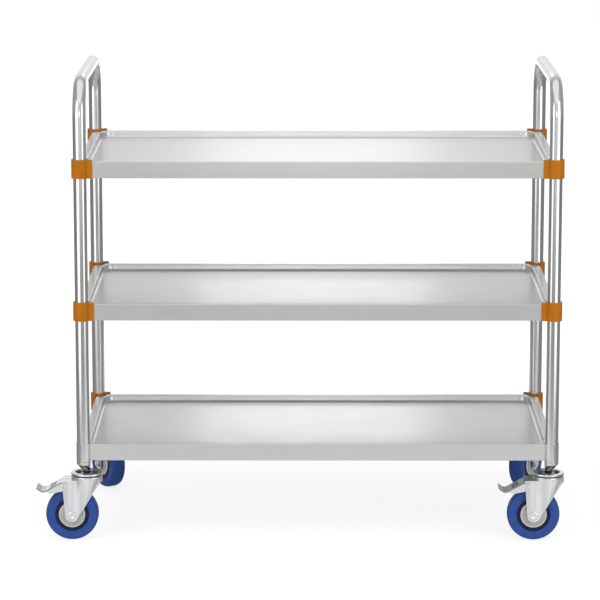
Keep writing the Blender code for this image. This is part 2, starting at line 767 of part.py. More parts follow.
# Wheel, made about the axle with the outer side towards -Y
def tyre_mesh():
    """The tread is a polygon whose flats lie at the wheel's radius, so the wheel stands on one."""
    tread = WHEEL_RADIUS / math.cos(math.pi / WHEEL_SIDES)
    bore = RIM_RADIUS + FIT_GAP
    seat = TYRE_HALF_WIDTH - RIM_INSET
    half = [
        (tread, TREAD_HALF_WIDTH),
        (tread - TYRE_SHOULDER, TYRE_HALF_WIDTH),
        (bore, seat),
    ]
    profile = half[::-1] + [(radius, -height) for radius, height in half]
    mesh = turned("tyre", profile, WHEEL_SIDES, ring=True)
    mesh.transform(Matrix.Rotation(math.pi / WHEEL_SIDES - math.pi / 2, 4, "Z"))
    return along_y(mesh)


def guard_seat():
    """Where a thread guard starts on the rim: its radius and its distance from the wheel's middle."""
    return RIM_RADIUS - RIM_DEPTH, TYRE_HALF_WIDTH - RIM_INSET


def wheel_centre_mesh():
    """Hub, web and rim, with a shallow rebate on each side that the thread guard sits in."""
    rim_inside, rim_side = guard_seat()
    half = [
        (AXLE_RADIUS + FIT_GAP, HUB_HALF_LENGTH),
        (HUB_RADIUS, HUB_HALF_LENGTH),
        (HUB_RADIUS, WEB_HALF_WIDTH),
        (rim_inside, WEB_HALF_WIDTH),
        (rim_inside, rim_side),
        (RIM_RADIUS, rim_side),
    ]
    profile = half + [(radius, -height) for radius, height in reversed(half)]
    return along_y(turned("wheel_centre", profile, HUB_SIDES, ring=True))


def guard_mesh():
    """A dished disc that covers the wheel's hub from the hub barrel out to the rim."""
    rim_inside, rim_side = guard_seat()
    outer = rim_inside + GUARD_OVERLAP
    inner = HUB_RADIUS + GUARD_SHEET / 2
    low = rim_side + FIT_GAP
    profile = [
        (inner, low + GUARD_DISH + GUARD_SHEET),
        (rim_inside, low + GUARD_SHEET),
        (outer, low),
        (rim_inside, low),
        (inner, low + GUARD_DISH),
    ]
    return along_y(turned("thread_guard", profile, GUARD_SIDES, ring=True))


def axle_mesh():
    """A bolt with a round dimpled head on the outer side and a nut on the other."""
    seat = FORK_HALF_WIDTH + FIT_GAP
    head = seat + AXLE_HEAD_HEIGHT
    profile = [
        (0, head - AXLE_DIMPLE_DEPTH),
        (AXLE_DIMPLE_RADIUS, head),
        (AXLE_HEAD_RADIUS, head),
        (AXLE_HEAD_RADIUS, seat),
        (AXLE_RADIUS, seat),
        (AXLE_RADIUS, -seat - NUT_HEIGHT - AXLE_HEAD_HEIGHT / 2),
        (0, -seat - NUT_HEIGHT - AXLE_HEAD_HEIGHT / 2),
    ]
    bolt = turned("axle", profile, PIN_SIDES)
    nut = cylinder("nut", NUT_RADIUS, -seat - NUT_HEIGHT, -seat, NUT_SIDES)
    return along_y(joined("axle", bolt, [("UNION", nut)]))


# Brake pedal, made about its hinge pin with the tread towards -X
def pedal_top_line():
    """The pedal's upper side in X and Z, from the ear over the knee and down the plate to the tip."""
    line = [(0, PEDAL_EAR_RADIUS), (-PEDAL_KNEE_REACH, PEDAL_KNEE_RISE)]
    down = PEDAL_PLATE_ANGLE
    toe_x = -PEDAL_KNEE_REACH - PEDAL_PLATE_LENGTH * math.cos(down)
    toe_z = PEDAL_KNEE_RISE - PEDAL_PLATE_LENGTH * math.sin(down)
    centre = (toe_x - PEDAL_CURL_RADIUS * math.sin(down), toe_z + PEDAL_CURL_RADIUS * math.cos(down))
    start = down - math.pi / 2
    curl = arc(centre, PEDAL_CURL_RADIUS, start, start - PEDAL_CURL_SWEEP, PEDAL_CURL_STEPS)
    line += curl
    tip_x, tip_z = curl[-1]
    end_x = tip_x - PEDAL_TIP_LENGTH * math.cos(PEDAL_TIP_ANGLE)
    end_z = tip_z + PEDAL_TIP_LENGTH * math.sin(PEDAL_TIP_ANGLE)
    line.append((end_x, end_z))
    return line


def offset_line(line, distance):
    """A line beside another, at the same distance all along; positive is to the left of its run."""
    shifted = []
    for i, point in enumerate(line):
        before = Vector(line[max(i - 1, 0)])
        after = Vector(line[min(i + 1, len(line) - 1)])
        here = Vector(point)
        runs = [run.normalized() for run in (here - before, after - here) if run.length > 0]
        normals = [Vector((-run.y, run.x)) for run in runs]
        middle = sum(normals, Vector((0, 0))).normalized()
        shifted.append(tuple(here + middle * distance / middle.dot(normals[0])))
    return shifted


def pedal_flange(top, side_y):
    """One side flange, from the ear round the pin to the toe; its upper edge runs inside the plate."""
    ear = arc((0, 0), PEDAL_EAR_RADIUS, -math.pi / 2, math.pi / 2, PEDAL_EAR_STEPS)
    toe = (-FLANGE_TOE_REACH, -FLANGE_TOE_DROP)
    front = (-FLANGE_FRONT_REACH, -FLANGE_FRONT_DROP)
    heel = (-FLANGE_HEEL_REACH, -FLANGE_HEEL_DROP)
    plate_middle = offset_line(top, PEDAL_SHEET / 2)[:3]
    mesh = side_prism("pedal_flange", [*ear[:-1], *plate_middle, front, toe, heel], PEDAL_SHEET / 2)
    return moved(mesh, (0, side_y * (PEDAL_HALF_WIDTH - PEDAL_SHEET / 2 - FIT_GAP), 0))


def pedal_mesh():
    top = pedal_top_line()
    under = offset_line(top, PEDAL_SHEET)
    plate = side_prism("pedal_plate", [*top, *reversed(under)], PEDAL_HALF_WIDTH)
    shoe_top = PEDAL_KNEE_RISE - PEDAL_SHEET / 2 - SHOE_REACH * math.sin(PEDAL_PLATE_ANGLE) / 2
    shoe_back = -SHOE_REACH - SHOE_THICKNESS / 2
    shoe_front = -SHOE_REACH + SHOE_THICKNESS / 2
    shoe_low = (shoe_back, -SHOE_HALF_WIDTH, -SHOE_DROP)
    shoe = block("shoe", shoe_low, (shoe_front, SHOE_HALF_WIDTH, shoe_top))
    reach = PEDAL_HALF_WIDTH + OVERRUN
    hole = along_y(cylinder("pin_hole", PEDAL_PIN_RADIUS + FIT_GAP, -reach, reach, PIN_SIDES))
    flanges = [("UNION", pedal_flange(top, side_y)) for side_y in (-1, 1)]
    steps = [*flanges, ("UNION", shoe), ("DIFFERENCE", hole)]
    near = (PEDAL_SIDE_SLOT_OUT, PEDAL_SIDE_SLOT_WIDTH)
    far = (-PEDAL_SIDE_SLOT_OUT, PEDAL_SIDE_SLOT_WIDTH)
    start = shoe_back - PEDAL_SHEET
    for out, width in ((0, PEDAL_SLOT_WIDTH), near, far):
        low = (start - PEDAL_SLOT_LENGTH, out - width / 2, -FLANGE_TOE_DROP)
        slot = block("pedal_slot", low, (start, out + width / 2, PEDAL_KNEE_RISE + OVERRUN))
        steps.append(("DIFFERENCE", slot))
    return joined("brake_pedal", plate, steps)


def build_casters(zinc, rubber, hub_plastic, guard_plastic, seal_rubber):
    head = head_mesh()
    seal = seal_mesh()
    plain_fork = fork_mesh(has_pedal=False)
    brake_fork = fork_mesh(has_pedal=True)
    tyre = tyre_mesh()
    centre = wheel_centre_mesh()
    guard = guard_mesh()
    axle = axle_mesh()
    pedal = pedal_mesh()
    pin_reach = FORK_HALF_WIDTH + PEDAL_PIN_RADIUS / 2
    pin = along_y(cylinder("pedal_pin", PEDAL_PIN_RADIUS, -pin_reach, pin_reach, PIN_SIDES))
    for (corner, side_x, side_y), turn in zip(CORNERS, CASTER_TURNS):
        place = (FRAME_X + side_x * (LEG_X - CASTER_INSET), side_y * LEG_Y, 0)
        place_piece(corner + "_caster_head", head, zinc, place)
        place_piece(corner + "_swivel_seal", seal, seal_rubber, place)
        swivel = new_empty(corner + "_swivel_axis", place, turn)
        brake = side_y < 0
        place_piece(corner + "_fork", brake_fork if brake else plain_fork, zinc, parent=swivel)
        wheel_place = (-WHEEL_TRAIL, 0, AXLE_Z)
        place_piece(corner + "_axle", axle, zinc, wheel_place, parent=swivel)
        wheel = new_empty(corner + "_wheel_axis", wheel_place, parent=swivel)
        place_piece(corner + "_tyre", tyre, rubber, parent=wheel)
        place_piece(corner + "_wheel_centre", centre, hub_plastic, parent=wheel)
        place_piece(corner + "_outer_thread_guard", guard, guard_plastic, parent=wheel)
        place_piece(corner + "_inner_thread_guard", guard, guard_plastic, turn=math.pi, parent=wheel)
        if brake:
            pin_place = (PEDAL_PIN_X, 0, PEDAL_PIN_Z)
            place_piece(corner + "_brake_pedal", pedal, zinc, pin_place, parent=swivel)
            place_piece(corner + "_pedal_pin", pin, zinc, pin_place, parent=swivel)


clear_scene()
trolley = new_collection("serving_trolley")
helpers = new_collection("cutters")

deck_steel = brushed_steel()
tube_steel = polished_steel()
build_hoops(tube_steel)
build_decks(deck_steel)
build_stiffeners(deck_steel)
build_brackets(orange_plastic())
build_sleeves(tube_steel)
build_sockets(tube_steel)
build_casters(zinc_steel(), blue_rubber(), navy_plastic(), grey_plastic(), black_rubber())
bpy.context.view_layer.update()
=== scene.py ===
"""The finish of a stainless steel serving trolley: three pressed decks, two end hoops, orange corner
brackets and four swivel casters, built over its jointed frame in metres, Z up."""

import json
import math

import bmesh
import bpy
from mathutils import Matrix, Vector

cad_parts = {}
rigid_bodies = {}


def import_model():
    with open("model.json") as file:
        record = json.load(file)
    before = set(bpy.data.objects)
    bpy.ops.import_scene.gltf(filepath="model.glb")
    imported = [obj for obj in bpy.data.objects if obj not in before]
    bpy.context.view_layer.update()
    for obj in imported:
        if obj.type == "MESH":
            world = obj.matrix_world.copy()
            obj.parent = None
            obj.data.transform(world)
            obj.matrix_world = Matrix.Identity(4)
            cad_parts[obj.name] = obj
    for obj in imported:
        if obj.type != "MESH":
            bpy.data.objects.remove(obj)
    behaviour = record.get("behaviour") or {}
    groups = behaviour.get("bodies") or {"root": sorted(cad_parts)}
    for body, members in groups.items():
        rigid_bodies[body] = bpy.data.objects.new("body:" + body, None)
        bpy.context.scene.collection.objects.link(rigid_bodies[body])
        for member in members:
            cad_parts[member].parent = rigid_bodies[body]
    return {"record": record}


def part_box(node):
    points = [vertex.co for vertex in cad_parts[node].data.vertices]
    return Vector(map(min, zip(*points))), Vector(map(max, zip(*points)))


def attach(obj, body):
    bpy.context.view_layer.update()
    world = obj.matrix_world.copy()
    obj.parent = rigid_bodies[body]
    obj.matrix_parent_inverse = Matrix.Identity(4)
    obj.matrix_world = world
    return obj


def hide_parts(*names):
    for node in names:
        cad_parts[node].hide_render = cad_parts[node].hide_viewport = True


bl_info = {
    "name": "Serving trolley",
    "version": (1, 0, 0),
    "blender": (4, 5, 0),
    "location": "3D View > Sidebar > Trolley",
    "description": "Builds a stainless steel serving trolley piece by piece over its frame",
    "category": "Object",
}

for startup_object in list(bpy.data.objects):
    bpy.data.objects.remove(startup_object, do_unlink=True)

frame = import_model()

CORNERS = (
    ("front_left", -1, -1),
    ("front_right", 1, -1),
    ("rear_left", -1, 1),
    ("rear_right", 1, 1),
)
LEVELS = ("top", "middle", "bottom")
SWIVEL_TURNS = {
    "front_left": 0.0,
    "front_right": 0.0,
    "rear_left": math.radians(120),
    "rear_right": math.radians(60),
}

# Clearances and weld
GAP = 0.0003
OVERRUN = 0.002
WELD = 0.000002


def middle_of(node):
    low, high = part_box(node)
    return (low + high) / 2


# What the frame fixes
HOOP_LOW, HOOP_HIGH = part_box("left_end_hoop")
RIGHT_HOOP_X = middle_of("right_end_hoop").x
LEFT_HOOP_X = middle_of("left_end_hoop").x
FRAME_X = (LEFT_HOOP_X + RIGHT_HOOP_X) / 2
LEG_X = (RIGHT_HOOP_X - LEFT_HOOP_X) / 2
TUBE_RADIUS = (HOOP_HIGH.x - HOOP_LOW.x) / 2
LEG_Y = HOOP_HIGH.y - TUBE_RADIUS
TUBE_FOOT_Z = HOOP_LOW.z
RAIL_Z = HOOP_HIGH.z - TUBE_RADIUS
LEDGE_Z = {level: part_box(level + "_deck")[1].z for level in LEVELS}
DECK_HALF_LENGTH = (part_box("top_deck")[1].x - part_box("top_deck")[0].x) / 2
DECK_HALF_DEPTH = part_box("top_deck")[1].y
APRON_HEIGHT = LEDGE_Z["top"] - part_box("top_deck")[0].z
CASTER_X = middle_of("front_right_caster_head").x - FRAME_X

# Hoops and decks, the decks' section by its distance in from the apron
HOOP_BEND = 0.065
FLOOR_MARGIN = 0.012
RECESS_DRAFT = 0.0018
RECESS_FILLET = 0.004
LEDGE_INNER_FOLD = 0.0021
LEDGE_OUTER_FOLD = 0.0018
LIP_WIDTH = 0.010
LIP_FOLD = 0.0014
DECK_CORNER = 0.003

# Stiffeners, by the half widths of their channel
CHANNEL_MOUTH = 0.029
CHANNEL_FOOT = 0.023
FOLD_OUTSIDE = 0.0016
FOLD_INSIDE = 0.0006

# Brackets and sleeves, measured from the leg's axis
DECK_OVERHANG = 0.0045
BRACKET_STAND = 0.0035
BRACKET_REACH = 0.0237
FLAP_THICKNESS = 0.003
SLEEVE_WALL = 0.0007
SLEEVE_EDGE = 0.0003

# Leg sockets
COLLAR_RADIUS = 0.0134
COLLAR_TOP_Z = TUBE_FOOT_Z - GAP
COLLAR_HEIGHT = 0.0048
COLLAR_FOOT_Z = COLLAR_TOP_Z - COLLAR_HEIGHT
CONE_HEIGHT = 0.0128
SOCKET_TIP_Z = COLLAR_FOOT_Z - CONE_HEIGHT
SOCKET_TIP_RADIUS = 0.0065
SPIGOT_RADIUS = 0.0106
SPIGOT_LENGTH = 0.030
SPIGOT_ROUND = 0.001
COLLAR_ROUND = 0.0008
CONE_ROUND = 0.0012
SOCKET_TIP_ROUND = 0.001

# Swivel heads and seals
STEM_RADIUS = 0.005
STEM_LENGTH_IN_SOCKET = 0.0155
STEM_FILLET = 0.0006
HEAD_TOP_Z = 0.131
HEAD_UNDERSIDE_Z = 0.1273
HEAD_RADIUS = 0.030
HEAD_ROUND = 0.0015
HEAD_EDGE = 0.0004
DISH_RADIUS = 0.0214
DISH_WALL_RADIUS = 0.0228
DISH_Z = 0.1267
DISH_UNDERSIDE_Z = 0.1253
DISH_FILLET = 0.0010
DISH_RIM_ROUND = 0.0008
DISH_UNDERSIDE_ROUND = 0.0006
DISH_MARGIN = 0.0002
DISH_SLOTS = 8
DISH_SLOT_WIDTH = 0.0024
DISH_SLOT_INNER = 0.0115
DISH_SLOT_OUTER = 0.0188
DISH_SLOT_CUT = 0.003
KING_PIN_RADIUS = 0.007
KING_PIN_FLANGE = 0.004
FLANGE_TOP_Z = 0.1222
FLANGE_FOOT_Z = 0.1192
FLANGE_EDGE = 0.0005
SEAL_RADIUS = 0.0285
SEAL_EDGE = 0.0004

# Forks, in a frame with the stem as its Z axis and the wheel towards -X
WHEEL_TRAIL = 0.028
AXLE_Z = 0.050
ROOF_Z = 0.118
CROWN_Z = 0.125
FORK_HALF_WIDTH = 0.023
CROWN_RADIUS = 0.0295
CROWN_ROUND = 0.002
CROWN_SKIRT = 0.006
CROWN_FRONT_ANGLE = math.radians(30)
CHEEK_END_RADIUS = 0.0125
CHEEK_REAR_X = -0.0455
CHEEK_TANGENT_ANGLE = math.radians(-31)
SHOULDER_RADIUS = 0.0032
FORK_EDGE = 0.0005
PEDAL_PIN_X = -0.038
PEDAL_PIN_Z = 0.1075

# Wheels and thread guards
RIM_RADIUS = 0.032
RIM_INSIDE = 0.0235
RIM_SIDE = 0.0138
HUB_RADIUS = 0.009
HUB_HALF_LENGTH = 0.0185
WEB_HALF_WIDTH = 0.004
CENTRE_EDGE = 0.0005
TYRE_BORE_EDGE = 0.0004
TYRE_SHOULDER = 0.003
TYRE_SHOULDER_ROUND = 0.002
TREAD_HALF_WIDTH = 0.009
TREAD_ROUND = 0.003
GUARD_SHEET = 0.0012
GUARD_DISH = 0.0022
GUARD_EDGE = 0.0003
GUARD_OVERLAP = 0.0015
GUARD_SEAT_EDGE = 0.0002
BEAD_FOOT = 0.0010
BEAD_FOOT_ROUND = 0.0010
BEAD_CREST = 0.0002
BEAD_CREST_ROUND = 0.0006
BEAD_HEIGHT = 0.0004
BEAD_HIGHLIGHT = 0.0006

# Axles and pedal pins
AXLE_RADIUS = 0.004
AXLE_HEAD_RADIUS = 0.008
AXLE_HEAD_HEIGHT = 0.0035
AXLE_HEAD_ROUND = 0.0008
AXLE_SEAT_EDGE = 0.0003
AXLE_DIMPLE_RADIUS = 0.0030
AXLE_DIMPLE_FILLET = 0.0008
AXLE_DIMPLE_MOUTH = 0.0045
AXLE_DIMPLE_ROUND = 0.0006
AXLE_DIMPLE_DEPTH = 0.0009
AXLE_CROWN_RADIUS = 0.0062
AXLE_CROWN_ROUND = 0.0003
AXLE_STEP_RADIUS = 0.0066
AXLE_STEP_FILLET = 0.0002
AXLE_STEP = 0.0004
AXLE_END_ROUND = 0.0008
NUT_RADIUS = 0.0075
NUT_HEIGHT = 0.004
NUT_SIDES = 6
NUT_EDGE = 0.0006
PIN_RADIUS = 0.0025
PIN_STAND = 0.00125
PIN_ROUND = 0.0006

# Brake pedal, measured from its pin; each slot by its distance from the middle and its width
PEDAL_HALF_WIDTH = 0.0202
PEDAL_EAR_RADIUS = 0.006
PEDAL_KNEE = (-0.0095, 0.0071)
PEDAL_KNEE_ROUND = 0.003
PEDAL_PLATE_LENGTH = 0.0345
PEDAL_PLATE_ANGLE = math.radians(29)
PEDAL_CURL_RADIUS = 0.009
PEDAL_CURL_SWEEP = math.radians(66)
PEDAL_TIP_LENGTH = 0.0083
PEDAL_HEEL = (-0.008, -0.011)
PEDAL_TOE = (-0.031, -0.0155)
PEDAL_FRONT = (-0.0375, -0.0125)
SHOE_REACH = 0.016
SHOE_DROP = 0.0103
SHOE_THICKNESS = 0.003
SHOE_HALF_WIDTH = 0.012
PEDAL_SLOTS = ((0.0, 0.008), (0.0125, 0.005), (-0.0125, 0.005))
PEDAL_SLOT_LENGTH = 0.012
PEDAL_EDGE = 0.0004

# How finely round shapes are cut
ROUND_SIDES = 96
SMALL_SIDES = 48
CORNER_STEPS = 12
FILLET_STEPS = 4
FOLD_STEPS = 5
SLEEVE_STEPS = 2
BEND_STEPS = 28
TUBE_SIDES = 64
BRACKET_SEGMENTS = 3
SKIRT_STEPS = 8
CONE_STEPS = 20
REAR_STEPS = 8
CHEEK_STEPS = 20
SHOULDER_STEPS = 6
CURL_STEPS = 14
KNEE_STEPS = 6
EAR_STEPS = 16
SHARP_ANGLE = math.radians(32)
BEVEL_ANGLE = math.radians(40)

# Floor as the steel mirrors it: two distances from the trolley's middle and the strength at each
SHEET_ASIDE = (0.65, 0.95, 1.0, 0.0)
SHEET_FRONT = (-1.45, -1.05, 0.0, 1.0)
SHEET_BACK = (1.9, 1.5, 0.0, 1.0)
NEAR_FRONT = (-1.0, -0.7, 0.0, 0.37)
NEAR_BACK = (-0.35, -0.25, 1.0, 0.0)
UNDER = (0.2, 0.32, 0.20, 0.0)
FAR_BEHIND = (2.0, 3.0, 0.0, 0.35)
FAR_ASIDE = (1.2, 2.0, 1.0, 0.0)
FAR_AHEAD = (-4.6, -3.6, 0.65, 0.0)
MIRRORED_SHEET = 0.44
MIRRORED_FLOOR = 0.14

# Floor as the camera sees it, and where its glow grows to white
SEEN_FLOOR_SHADE = 0.34
GLOW_BEHIND = (0.3, 1.6)
GLOW_AROUND = (1.3, 2.6)
FLOOR_REACH = 9.0
FLOOR_DROP = 0.0002

# Bright patches of the world, before and behind the trolley
PATCH_LIFT = math.radians(15)
PATCH_CORE = math.radians(24)
PATCH_EDGE = math.radians(38)

# Lamps: place and target from the trolley's middle, width, height, and the setting that holds the power
LAMPS = (
    ("left_softbox", (-1.225, -1.22, 0.9), (-0.576, -0.459, 0.9), 0.99, 1.8, "side_light"),
    ("right_softbox", (1.225, -1.22, 0.9), (0.576, -0.459, 0.9), 0.99, 1.8, "side_light"),
    ("overhead_softbox", (0, -0.9, 3.0), (0, -0.9, 0), 3.6, 4.0, "top_light"),
    ("rear_softbox", (0, 2.2, 1.90), (0, 0, 0.75), 0.62, 0.70, "back_light"),
    ("low_rear_softbox", (0, 2.2, 0.67), (0, 0, 0.5), 0.62, 0.14, "low_back_light"),
    ("front_softbox", (0, -2.6, 1.08), (0, 0, 0.6), 0.7, 0.4, "front_light"),
)


def length(name, default, description):
    return bpy.props.FloatProperty(
        name=name, description=description, default=default, min=0.0, unit="LENGTH", precision=4
    )


def colour(name, default, description):
    return bpy.props.FloatVectorProperty(
        name=name, description=description, default=default, size=3, min=0.0, max=1.0, subtype="COLOR"
    )


def amount(name, default, description, high=100.0):
    return bpy.props.FloatProperty(name=name, description=description, default=default, min=0.0, max=high)


class TrolleySizes(bpy.types.PropertyGroup):
    """Sizes of the trolley's pieces that may be changed"""

    tube_radius: length("Tube radius", TUBE_RADIUS, "Outer radius of the hoop tube")
    tube_wall: length("Tube wall", 0.0012, "Wall thickness of the hoop tube")
    hoop_bend: length("Hoop bend", HOOP_BEND, "Centre line radius of the bends at the ends of the rail")
    deck_sheet: length("Deck sheet", 0.001, "Thickness of the pressed deck sheet")
    ledge_width: length("Ledge width", 0.016, "Width of the flat ledge round each tray")
    recess_depth: length("Recess depth", 0.0115, "Depth of the tray below its ledge")
    recess_corner: length("Recess corner", 0.028, "Plan radius of the tray's corners")
    bracket_wall: length("Bracket wall", 0.0032, "Wall of the bracket ring round a leg")
    bracket_round: length("Bracket rounding", 0.0008, "Rounding of the moulded bracket's edges")
    fork_sheet: length("Fork sheet", 0.0025, "Thickness of the pressed caster fork")
    wheel_radius: length("Wheel radius", 0.050, "Radius of the wheel over its tyre")
    tyre_half_width: length("Tyre half width", 0.015, "Half the width of the tyre")
    pedal_sheet: length("Pedal sheet", 0.002, "Thickness of the brake pedal's sheet")


class TrolleyColours(bpy.types.PropertyGroup):
    """Colours of the trolley's finishes"""

    deck_steel: colour("Deck steel", (0.63, 0.63, 0.625), "Brushed stainless sheet")
    tube_steel: colour("Tube steel", (0.62, 0.62, 0.615), "Polished stainless tube")
    zinc: colour("Zinc plate", (0.79, 0.80, 0.82), "Bright zinc plate on the casters")
    recess_shade: colour("Painted recess shade", (0.10, 0.10, 0.11), "Painted shade in the swivel heads' dishes and on the pedals' slot walls and cut edges")
    orange: colour("Bracket orange", (0.46, 0.148, 0.002), "Moulded plastic of the brackets")
    orange_shade: colour("Bracket shade", (0.34, 0.104, 0.001), "Deeper patches of the bracket plastic")
    orange_edge_wear_and_highlight: colour("Bracket edge wear and highlight", (0.75, 0.36, 0.06), "Rubbed edges of the bracket plastic, lightened also as painted highlight")
    tyre_blue: colour("Tyre blue", (0.030, 0.078, 0.31), "Rubber of the tyres")
    wheel_navy: colour("Wheel navy", (0.010, 0.016, 0.045), "Plastic of the wheel centres")
    guard_grey: colour("Guard grey", (0.44, 0.44, 0.43), "Plastic of the thread guards")
    guard_rim_highlight: colour("Guard rim highlight", (0.72, 0.70, 0.64), "Painted highlight on the guards' rim bead and edges, also the colour of their specks")
    seal_black: colour("Seal black", (0.012, 0.013, 0.018), "Rubber of the swivel seals")


class TrolleyStage(bpy.types.PropertyGroup):
    """Floor, light and camera round the trolley"""

    floor: colour("Floor", (0.90, 0.90, 0.90), "Pale floor under the trolley")
    floor_glow: amount("Floor glow", 0.80, "Brightness added to the floor that the camera sees", 1.0)
    backdrop: amount("Backdrop", 1.0, "Brightness of the white backdrop", 1.0)
    front_wall: amount("Front wall", 0.85, "Brightness of the wall behind the camera", 1.0)
    room: amount("Room", 0.30, "Light that the room round the set gives", 1.0)
    mirrored_room: amount("Mirrored room", 0.50, "Brightness of the room that the steel mirrors", 1.0)
    side_light: amount("Side light", 9.0, "Power of each tall side lamp", 2000.0)
    top_light: amount("Top light", 34.0, "Power of the overhead lamp", 2000.0)
    back_light: amount("Back light", 2.3, "Power of the lamp high behind the trolley", 2000.0)
    low_back_light: amount("Low back light", 0.85, "Power of the strip low behind the trolley", 2000.0)
    front_light: amount("Front light", 2.7, "Power of the lamp in front of the trolley", 2000.0)
    camera_distance: length("Camera distance", 5.850, "Distance from the trolley's middle to the camera")
    camera_height: length("Camera height", 1.540, "Height of the camera above the floor")
    camera_aside: bpy.props.FloatProperty(
        name="Camera aside",
        description="How far the camera stands right of the trolley's middle",
        default=-0.0183,
        unit="LENGTH",
        precision=4,
    )
    camera_tilt: amount("Camera tilt", math.radians(10.818), "How far the camera looks down", math.pi)
    camera_turn: amount("Camera turn", 0.00266, "How far the camera turns to the left", math.pi)
    lens: amount("Lens", 182.9, "Focal length of the camera in millimetres", 500.0)


# Meshes
def rounded(profile, steps=FILLET_STEPS, ring=False):
    """A line of (a, b, fillet) points with each corner made into a short curve of that reach."""
    count = len(profile)
    line = []
    for i, (a, b, reach) in enumerate(profile):
        here = Vector((a, b))
        if reach == 0 or (not ring and i in (0, count - 1)):
            line.append((a, b))
            continue
        before = Vector(profile[i - 1][:2]) - here
        after = Vector(profile[(i + 1) % count][:2]) - here
        start = here + before.normalized() * min(reach, before.length / 2)
        end = here + after.normalized() * min(reach, after.length / 2)
        for step in range(steps + 1):
            t = step / steps
            line.append(tuple(start * (1 - t) ** 2 + here * 2 * t * (1 - t) + end * t * t))
    return line


def arc(centre, radius, start, end, steps):
    """Points along an arc between two angles."""
    turns = [start + (end - start) * i / steps for i in range(steps + 1)]
    return [(centre[0] + radius * math.cos(a), centre[1] + radius * math.sin(a)) for a in turns]


def ring_section(inner, outer, low, high, edge):
    """The section of a plain ring with rounded edges, as points for rounded and lathe."""
    return [(outer, high, edge), (outer, low, edge), (inner, low, edge), (inner, high, edge)]


def both_sides(half):
    """A section from its upper half, with its lower half as the mirror image."""
    return half + [(radius, -height, reach) for radius, height, reach in reversed(half)]


def mesh_of(work, name):
    """A plain mesh from a finished bmesh, which is freed."""
    mesh = bpy.data.meshes.new(name)
    work.to_mesh(mesh)
    work.free()
    return mesh


def lathe(name, profile, sides=ROUND_SIDES, ring=False):
    """A mesh turned about Z from (radius, height) points that run down the outer side, with UV in metres."""
    work = bmesh.new()
    uv = work.loops.layers.uv.new("UVMap")
    rows = []
    for radius, height in profile:
        if radius == 0:
            rows.append([work.verts.new((0, 0, height))] * sides)
            continue
        turns = [math.tau * j / sides for j in range(sides)]
        rows.append([work.verts.new((radius * math.cos(a), radius * math.sin(a), height)) for a in turns])
    run = [0.0]
    for here, after in zip(profile, [*profile[1:], profile[0]]):
        run.append(run[-1] + math.dist(here, after))
    girth = math.tau * max(radius for radius, height in profile) / sides
    for i in range(len(profile) if ring else len(profile) - 1):
        upper, lower = rows[i], rows[(i + 1) % len(rows)]
        for j in range(sides):
            k = (j + 1) % sides
            corners = [(upper[j], j, i), (lower[j], j, i + 1), (lower[k], j + 1, i + 1), (upper[k], j + 1, i)]
            kept = []
            for corner in corners:
                if corner[0] not in [other[0] for other in kept]:
                    kept.append(corner)
            if len(kept) < 3:
                continue
            face = work.faces.new([corner[0] for corner in kept])
            for loop, corner in zip(face.loops, kept):
                loop[uv].uv = (girth * corner[1], run[corner[2]])
    return mesh_of(work, name)


def prism(name, outline, low, high):
    """A flat outline in X and Y given thickness between two heights."""
    work = bmesh.new()
    lower = [work.verts.new((x, y, low)) for x, y in outline]
    upper = [work.verts.new((x, y, high)) for x, y in outline]
    work.faces.new(lower[::-1])
    work.faces.new(upper)
    for i in range(len(outline)):
        j = (i + 1) % len(outline)
        work.faces.new((lower[i], lower[j], upper[j], upper[i]))
    bmesh.ops.recalc_face_normals(work, faces=work.faces)
    return mesh_of(work, name)


def side_prism(name, outline, half_width):
    """An outline in X and Z given thickness both ways along Y."""
    return along_y(prism(name, outline, -half_width, half_width))


def block(name, low, high):
    """A box between two corners."""
    outline = [(low[0], low[1]), (high[0], low[1]), (high[0], high[1]), (low[0], high[1])]
    return prism(name, outline, low[2], high[2])


def disc(name, radius, low, high, place=(0, 0), sides=SMALL_SIDES):
    """A round or many-sided plate between two heights."""
    return prism(name, arc(place, radius, 0, math.tau * (1 - 1 / sides), sides - 1), low, high)


def along_y(mesh):
    """Turns a mesh made about Z so that its axis lies along Y and its top faces -Y."""
    mesh.transform(Matrix.Rotation(math.pi / 2, 4, "X"))
    return mesh


def moved(mesh, place):
    mesh.transform(Matrix.Translation(place))
    return mesh


def object_from(mesh, name):
    item = bpy.data.objects.new(name, mesh)
    bpy.context.scene.collection.objects.link(item)
    return item


def settled(item):
    """The mesh that an object's modifiers leave; the object itself is removed."""
    bpy.context.view_layer.update()
    graph = bpy.context.evaluated_depsgraph_get()
    mesh = bpy.data.meshes.new_from_object(item.evaluated_get(graph))
    mesh.name = item.name
    bpy.data.objects.remove(item, do_unlink=True)
    return mesh


def joined(name, mesh, steps):
    """One mesh after a row of Booleans, each given as (operation, mesh)."""
    item = object_from(mesh, name)
    others = []
    for operation, other in steps:
        helper = object_from(other, name + "_" + operation.lower())
        modifier = item.modifiers.new(helper.name, "BOOLEAN")
        modifier.operation = operation
        modifier.object = helper
        others.append(helper)
    mesh = settled(item)
    for helper in others:
        bpy.data.objects.remove(helper, do_unlink=True)
    return welded(mesh)


def welded(mesh):
    """Merges the points of a mesh that lie on each other."""
    work = bmesh.new()
    work.from_mesh(mesh)
    bmesh.ops.remove_doubles(work, verts=work.verts, dist=WELD)
    work.to_mesh(mesh)
    work.free()
    return mesh


def thickened(mesh, wall, even=True):
    """A skin given its wall inwards."""
    item = object_from(mesh, mesh.name)
    solid = item.modifiers.new("wall", "SOLIDIFY")
    solid.thickness = wall
    solid.offset = -1
    solid.use_even_offset = even
    return settled(item)


